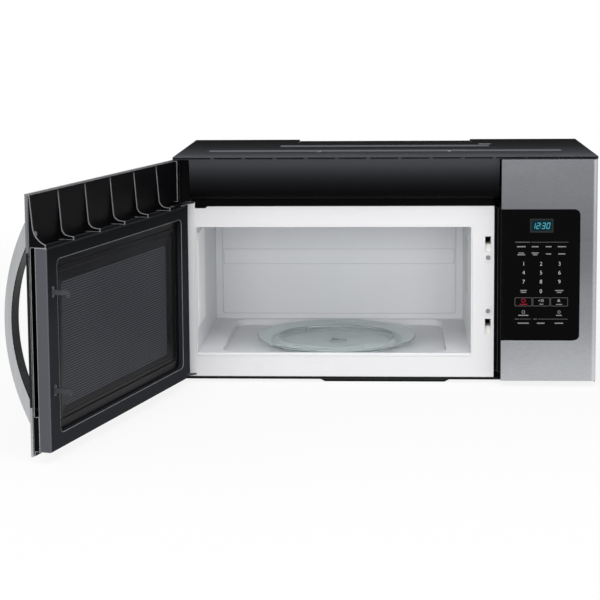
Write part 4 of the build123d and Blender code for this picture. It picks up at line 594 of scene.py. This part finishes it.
# printed keys in millimetres on the glass: the middle's x and z, then the width and the height
inkLook = {"front": -390.06, "lift": 0.12, "white": {"dark": "#707070", "light": "#868686"},
           "bright": {"dark": "#a8a8a8", "light": "#bcbcbc"},
           "grey": {"dark": "#484849", "light": "#5a5a5c"}, "red": {"dark": "#7c1026", "light": "#961a32"}}
keyBars = {"white": [(244.3, 246, 15.5, 1.9), (268.9, 246, 12.5, 1.9), (292.7, 246, 10.5, 1.9),
                     (316.2, 246, 15, 1.9), (244.3, 234.6, 9.8, 1.7), (244.3, 231.4, 13.6, 1.7),
                     (268.9, 234.6, 12.6, 1.7), (268.9, 231.4, 7.7, 1.7), (292.7, 232.9, 9.8, 1.9),
                     (316.2, 232.9, 12.6, 1.9), (248.8, 166.9, 11.6, 1.7), (248.8, 163.6, 10, 1.7),
                     (312.3, 166.9, 15.2, 1.7), (312.3, 163.6, 8.6, 1.7), (248.8, 121.7, 18.2, 1.8),
                     (312.3, 121.7, 10.2, 1.8), (248.8, 107.4, 20, 1.9), (280, 107.4, 13.8, 1.9),
                     (312.3, 107.4, 15.2, 1.9), (280.8, 141.9, 7, 1.5), (312.4, 141.6, 11, 1.4)],
           "grey": [(246.6, 254.1, 27, 1.5), (294.9, 254.1, 65.6, 0.8), (237, 114.9, 7, 1.4),
                    (252, 114.9, 20.2, 0.8), (270, 114.9, 7, 1.4), (301.5, 114.9, 52.4, 0.8)],
           "red": [(248.8, 141.7, 13.5, 1.6)]}
keyFrames = [(248.8, 146.2, 31, 15.8), (280.5, 146.2, 30.4, 15.8), (312.4, 146.2, 31, 15.8)]
digitPlaces = [("1", 248.8, 214.8), ("2", 279.7, 214.8), ("3", 312.4, 214.8), ("4", 248.8, 198.8),
               ("5", 279.7, 198.8), ("6", 312.4, 198.8), ("7", 248.8, 182.3), ("8", 279.7, 182.3),
               ("9", 312.4, 182.3), ("0", 279.7, 165.2), ("+30", 280.2, 148.2)]
digitPrint = {"height": 9.8, "signHeight": 6.6, "thickness": 0.08, "thinner": 0.08}
inks = {tint: makeInk(tint + "KeyInk", inkLook[tint]) for tint in ("white", "bright", "grey", "red")}
prints = []


def printPatch(x, z, width, height, tint, corner=0.4, sides=0):
    # one flat printed patch with rounded corners, or a regular figure with so many sides
    startPiece()
    spot = (x / 1000, inkLook["front"] / 1000, z / 1000)
    if sides:
        bpy.ops.mesh.primitive_circle_add(vertices=sides, radius=0.5, fill_type="NGON", location=spot,
                                          rotation=(math.radians(90), 0, 0))
    else:
        bpy.ops.mesh.primitive_plane_add(size=1, location=spot, rotation=(math.radians(90), 0, 0))
    patch = bpy.context.object
    patch.data.transform(Matrix.Diagonal((width / 1000, height / 1000, 1, 1)))
    bpy.ops.object.mode_set(mode="EDIT")
    bpy.ops.mesh.select_all(action="SELECT")
    bpy.ops.mesh.bevel(offset=min(corner, height * 0.3) / 1000, segments=2, affect="VERTICES")
    bpy.ops.mesh.extrude_region_move(TRANSFORM_OT_translate={"value": (0, -inkLook["lift"] / 1000, 0)})
    faceOutwards()
    bpy.ops.object.mode_set(mode="OBJECT")
    patch.data.materials.append(inks[tint])
    prints.append(patch)
    return patch


def printOutline(x, z, width, height, tint, line, sides=0, corner=1.2):
    # a printed outline: the patch's front is inset by the line's width and its middle is taken out
    patch = printPatch(x, z, width, height, tint, corner, sides)
    pickFaces(patch, lambda centre, normal: abs(normal.z) > 0.9)
    bpy.ops.mesh.inset(thickness=line / 1000, depth=0)
    bpy.ops.mesh.delete(type="FACE")
    bpy.ops.mesh.select_all(action="SELECT")
    bpy.ops.mesh.select_mode(type="EDGE")
    bpy.ops.mesh.select_all(action="DESELECT")
    bpy.ops.mesh.select_non_manifold()
    bpy.ops.mesh.bridge_edge_loops()
    faceOutwards()
    bpy.ops.object.mode_set(mode="OBJECT")
    return patch


for tint, bars in keyBars.items():
    for spot in bars:
        printPatch(*spot, tint)
for spot in keyFrames:
    printOutline(*spot, "grey", 0.8)
printOutline(248.8, 148.6, 8.4, 8.4, "red", 1.3, sides=8, corner=0.1)  # stop key: an eight-sided figure
printPatch(311.6, 148.4, 7.6, 7.6, "white", corner=0.3, sides=3)  # start key: a triangle
printOutline(248.8, 127.8, 6.2, 6.2, "white", 1.0, sides=16, corner=0.05)  # tray key: a ring
printOutline(312.3, 127.8, 6.2, 6.2, "white", 1.0, sides=6, corner=0.05)  # clock key: a six-sided ring
for text, x, z in digitPlaces:
    startPiece()
    bpy.ops.object.text_add(location=(x / 1000, inkLook["front"] / 1000, z / 1000),
                            rotation=(math.radians(90), 0, 0))
    digit = bpy.context.object
    digit.data.body = text
    digit.data.size = digitPrint["height" if len(text) == 1 else "signHeight"] / 1000
    digit.data.align_x = "CENTER"
    digit.data.align_y = "CENTER"
    digit.data.extrude = digitPrint["thickness"] / 1000
    digit.data.offset = -digitPrint["thinner"] / 1000
    digit.data.materials.append(inks["bright"])
    bpy.ops.object.convert(target="MESH")
    prints.append(bpy.context.object)
settle(joinPieces(prints), "keyLegends", "cabinet")
print("key legends printed")


def makeGlow(name, look):
    # vacuum fluorescent glow: a cool light, a little uneven over each segment
    driftSize = 0.004
    finish, tree, shader, place = startFinish(name, {"Roughness": 0.3, "Specular IOR Level": 0.05,
                                                     "Emission Strength": look["strength"]})
    space = addNode(tree, "Mapping", {"Vector": place, "Scale": (1 / driftSize,) * 3}).outputs[0]
    drift = addNode(tree, "TexNoise", {"Vector": space, "Scale": 1}).outputs[0]
    tone = addNode(tree, "Mix", {0: drift, 6: toLinear(look["dark"]), 7: toLinear(look["light"])},
                   data_type="RGBA").outputs[2]
    shader.inputs["Base Color"].default_value = toLinear(look["body"])
    tree.links.new(tone, shader.inputs["Emission Color"])
    return finish


# clock window in millimetres: a dark bezel round a teal core, with the time in slanted figures
clock = {"centre": (280.2, 283.8), "size": (41.4, 25.0), "rim": 2.6, "front": -390.05, "lift": 0.25,
         "sink": 0.15, "bezelSlope": 0.2, "digit": (6.2, 11.4), "stroke": 1.35, "gap": 0.2, "slant": 0.2,
         "tip": 0.45, "point": 0.12, "left": 265.0, "base": 277.9, "pitch": (0, 8.0, 17.6, 25.8),
         "time": "1230"}
clockDots = {"x": 277.2, "heights": (281.2, 286.2), "size": 1.3, "thickness": 0.1, "corner": 0.25}
# each figure's lit segments, and each segment's place across and up, with 1 where it stands upright
litSegments = {"0": "abcdef", "1": "bc", "2": "abged", "3": "abgcd"}
segmentPlaces = {"a": (0.5, 1, 0), "d": (0.5, 0, 0), "g": (0.5, 0.5, 0), "b": (1, 0.75, 1),
                 "c": (1, 0.25, 1), "e": (0, 0.25, 1), "f": (0, 0.75, 1)}
# smoked plastic bezel, and behind it a dim core whose faint glow is painted light, and the brighter figures
# of a vacuum fluorescent clock
bezelLook = {"dark": "#202223", "light": "#262829", "roughness": 0.4, "clear": 0.0, "ior": 1.5,
             "gloss": 0.05}
coreLook = {"dark": "#051c24", "light": "#07262e", "body": "#04181e", "strength": 0.35}
glowLook = {"dark": "#4aa8bc", "light": "#6cc4d4", "body": "#0a2a32", "strength": 0.8}

startPiece()
bpy.ops.mesh.primitive_plane_add(size=1, location=(clock["centre"][0] / 1000, clock["front"] / 1000,
                                                   clock["centre"][1] / 1000),
                                 rotation=(math.radians(90), 0, 0))
window = bpy.context.object
window.data.transform(Matrix.Diagonal((clock["size"][0] / 1000, clock["size"][1] / 1000, 1, 1)))
bpy.ops.object.mode_set(mode="EDIT")
bpy.ops.mesh.select_all(action="SELECT")
bpy.ops.mesh.extrude_region_move(TRANSFORM_OT_translate={"value": (0, -clock["lift"] / 1000, 0)})
bpy.ops.mesh.inset(thickness=clock["rim"] / 1000, depth=0)
bpy.ops.mesh.inset(thickness=clock["bezelSlope"] / 1000, depth=-clock["sink"] / 1000)
bpy.ops.object.mode_set(mode="OBJECT")
for face in window.data.polygons:
    face.material_index = int(face.select)  # the sunk middle is still the selected face
bpy.ops.object.mode_set(mode="EDIT")
faceOutwards()
settle(window, "clockWindow", "cabinet", None,
       (makeGlass("smokedBezel", bezelLook), makeGlow("tealCorePaintedGlow", coreLook)))

# one segment: a bar drawn out at both ends, by a share of its stroke, almost to a point
startPiece()
width, height = clock["digit"]
bar = width - clock["stroke"] - 2 * clock["gap"]
tip = clock["stroke"] * clock["tip"]
bpy.ops.mesh.primitive_cube_add(size=1)
segment = bpy.context.object
segment.data.transform(Matrix.Diagonal((bar, clock["stroke"], 0.1, 1)))
for side in (-1, 1):
    pickFaces(segment, lambda centre, normal: normal.x * side > 0.9)
    bpy.ops.mesh.extrude_region_move(TRANSFORM_OT_translate={"value": (side * tip, 0, 0)})
    bpy.ops.transform.resize(value=(1, clock["point"], 1))
bpy.ops.object.mode_set(mode="OBJECT")
figures = []
slant = Matrix(((1, 0, clock["slant"], 0), (0, 1, 0, 0), (0, 0, 1, 0), (0, 0, 0, 1)))
stand = Matrix.Rotation(math.radians(90), 4, "X")
facePlane = (clock["front"] - clock["lift"] + clock["sink"]) / 1000
for figure, shift in zip(clock["time"], clock["pitch"]):
    for key in litSegments[figure]:
        acrossShare, upShare, upright = segmentPlaces[key]
        lit = bpy.data.objects.new("lit", segment.data.copy())
        bpy.context.scene.collection.objects.link(lit)
        halfFigure = height / 2 - clock["stroke"] * 0.5 - clock["gap"]
        along = halfFigure / (bar + 2 * tip) if upright else 1.0
        lit.data.transform(Matrix.Diagonal((along, 1, 1, 1)))
        lit.data.transform(Matrix.Rotation(math.radians(90) * upright, 4, "Z"))
        lit.data.transform(stand)
        spot = ((acrossShare - 0.5) * (width - clock["stroke"]), 0,
                upShare * (height - clock["stroke"]) + clock["stroke"] / 2)
        lit.data.transform(slant @ Matrix.Translation(spot))
        lit.data.transform(Matrix.Scale(0.001, 4))
        lit.data.transform(Matrix.Translation(((clock["left"] + shift) / 1000, facePlane,
                                               clock["base"] / 1000)))
        figures.append(lit)
for dotHeight in clockDots["heights"]:
    startPiece()
    bpy.ops.mesh.primitive_cube_add(size=1)
    dot = bpy.context.object
    dotSize, dotThickness = clockDots["size"] / 1000, clockDots["thickness"] / 1000
    dot.data.transform(Matrix.Diagonal((dotSize, dotThickness, dotSize, 1)))
    bpy.ops.object.mode_set(mode="EDIT")
    bpy.ops.mesh.select_all(action="SELECT")
    bpy.ops.mesh.bevel(offset=clockDots["corner"] / 1000, segments=1, affect="EDGES")
    bpy.ops.object.mode_set(mode="OBJECT")
    dotX = clockDots["x"] + (dotHeight - clock["base"]) * clock["slant"]
    dot.data.transform(Matrix.Translation((dotX / 1000, facePlane, dotHeight / 1000)))
    figures.append(dot)
bpy.data.objects.remove(segment)
settle(joinPieces(figures), "clockFigures", "cabinet", None,
       (makeGlow("tealFigures", glowLook),))
print("clock made")


# studio: white all round for what the camera and reflections see, softer for the light itself
studio = {"floorLevel": -0.0092, "floorSize": 60.0, "ambient": 0.42, "whiteNear": 0.86, "whiteFar": 1.0,
          "whiteFrom": 0.6, "whiteTo": 2.4, "floorDark": "#f0f0f0", "floorLight": "#f4f4f4"}
softBoxes = {
    # its own reflection would burn out the brushed steel, so it has none
    "frontSoftBox": {"place": (-0.5, -4.2, 0.8), "target": (-0.05, -0.2, 0.15), "size": (3.6, 1.3),
                     "power": 84, "mirrored": False},
    "topSoftBox": {"place": (0, -1.7, 2.8), "target": (0, -0.3, 0.1), "size": (2.6, 1.6),
                   "power": 46, "mirrored": True},
    "rightSoftBox": {"place": (2.4, -1.6, 0.5), "target": (0.38, -0.38, 0.2), "size": (1.6, 1.2),
                     "power": 6, "mirrored": True}}
photoCamera = {"place": (0.00883, -3.44341, 0.68561), "turn": (83.2436, 0.445, 2.9373), "lens": 103.115,
               "shiftDown": -0.16}


def raysThatShow(tree):
    # 1 for what the camera sees straight on, mirrored or through glass, and 0 for the light that falls
    rays = addNode(tree, "LightPath").outputs
    sharp = addNode(tree, "Math", {0: rays["Is Glossy Ray"], 1: rays["Is Transmission Ray"]},
                    operation="MAXIMUM").outputs[0]
    return addNode(tree, "Math", {0: rays["Is Camera Ray"], 1: sharp}, operation="MAXIMUM").outputs[0]


world = bpy.data.worlds.new("studioWhite")
bpy.context.scene.world = world
world.use_nodes = True
worldTree = world.node_tree
strength = addNode(worldTree, "MapRange", {"Value": raysThatShow(worldTree), "To Min": studio["ambient"],
                                           "To Max": 1.0}).outputs[0]
backdrop = worldTree.nodes["Background"]
backdrop.inputs["Color"].default_value = toLinear("#ffffff")
worldTree.links.new(strength, backdrop.inputs["Strength"])

startPiece()
bpy.ops.mesh.primitive_plane_add(size=studio["floorSize"], location=(0, 0, studio["floorLevel"]))
floor = bpy.context.object
floor.name = "studioFloor"
floorPaint, floorTree, floorShader, floorPlace = startFinish("paleFloor",
                                                             {"Roughness": 0.9, "Specular IOR Level": 0.1})
floorCloud = addNode(floorTree, "TexNoise", {"Vector": floorPlace, "Scale": 2}).outputs[0]
floorTone = addNode(floorTree, "Mix", {0: floorCloud, 6: toLinear(studio["floorDark"]),
                                       7: toLinear(studio["floorLight"])}, data_type="RGBA").outputs[2]
floorTree.links.new(floorTone, floorShader.inputs["Base Color"])
# a share of plain white for the rays that show lifts the floor to white and keeps a soft shadow
floorReach = addNode(floorTree, "VectorMath", {0: floorPlace}, operation="LENGTH").outputs["Value"]
floorWhite = addNode(floorTree, "MapRange", {"Value": floorReach, "From Min": studio["whiteFrom"],
                                             "From Max": studio["whiteTo"], "To Min": studio["whiteNear"],
                                             "To Max": studio["whiteFar"]},
                     interpolation_type="SMOOTHSTEP").outputs[0]
whiteShare = addNode(floorTree, "Math", {0: raysThatShow(floorTree), 1: floorWhite},
                     operation="MULTIPLY").outputs[0]
whiteLight = addNode(floorTree, "Emission", {"Color": toLinear("#ffffff"), "Strength": 1.0}).outputs[0]
floorMix = addNode(floorTree, "MixShader",
                   {0: whiteShare, 1: floorShader.outputs[0], 2: whiteLight}).outputs[0]
floorTree.links.new(floorMix, floorTree.nodes["Material Output"].inputs["Surface"])
floor.data.materials.append(floorPaint)

for name, box in softBoxes.items():
    lamp = bpy.data.lights.new(name, "AREA")
    lamp.shape = "RECTANGLE"
    lamp.size, lamp.size_y = box["size"]
    lamp.energy = box["power"]
    holder = bpy.data.objects.new(name, lamp)
    holder.location = box["place"]
    aim = Vector(box["target"]) - Vector(box["place"])
    holder.rotation_euler = aim.to_track_quat("-Z", "Y").to_euler()
    holder.visible_glossy = box["mirrored"]
    bpy.context.scene.collection.objects.link(holder)

view = bpy.data.cameras.new("photoCamera")
view.sensor_fit = "HORIZONTAL"
view.sensor_width = 36
view.lens = photoCamera["lens"]
view.shift_y = photoCamera["shiftDown"]
view.clip_start = 0.05
view.clip_end = 50
camera = bpy.data.objects.new("photoCamera", view)
camera.location = photoCamera["place"]
camera.rotation_euler = [math.radians(angle) for angle in photoCamera["turn"]]
bpy.context.scene.collection.objects.link(camera)
bpy.context.scene.camera = camera
bpy.context.scene.view_settings.view_transform = "Standard"

print("studio ready")
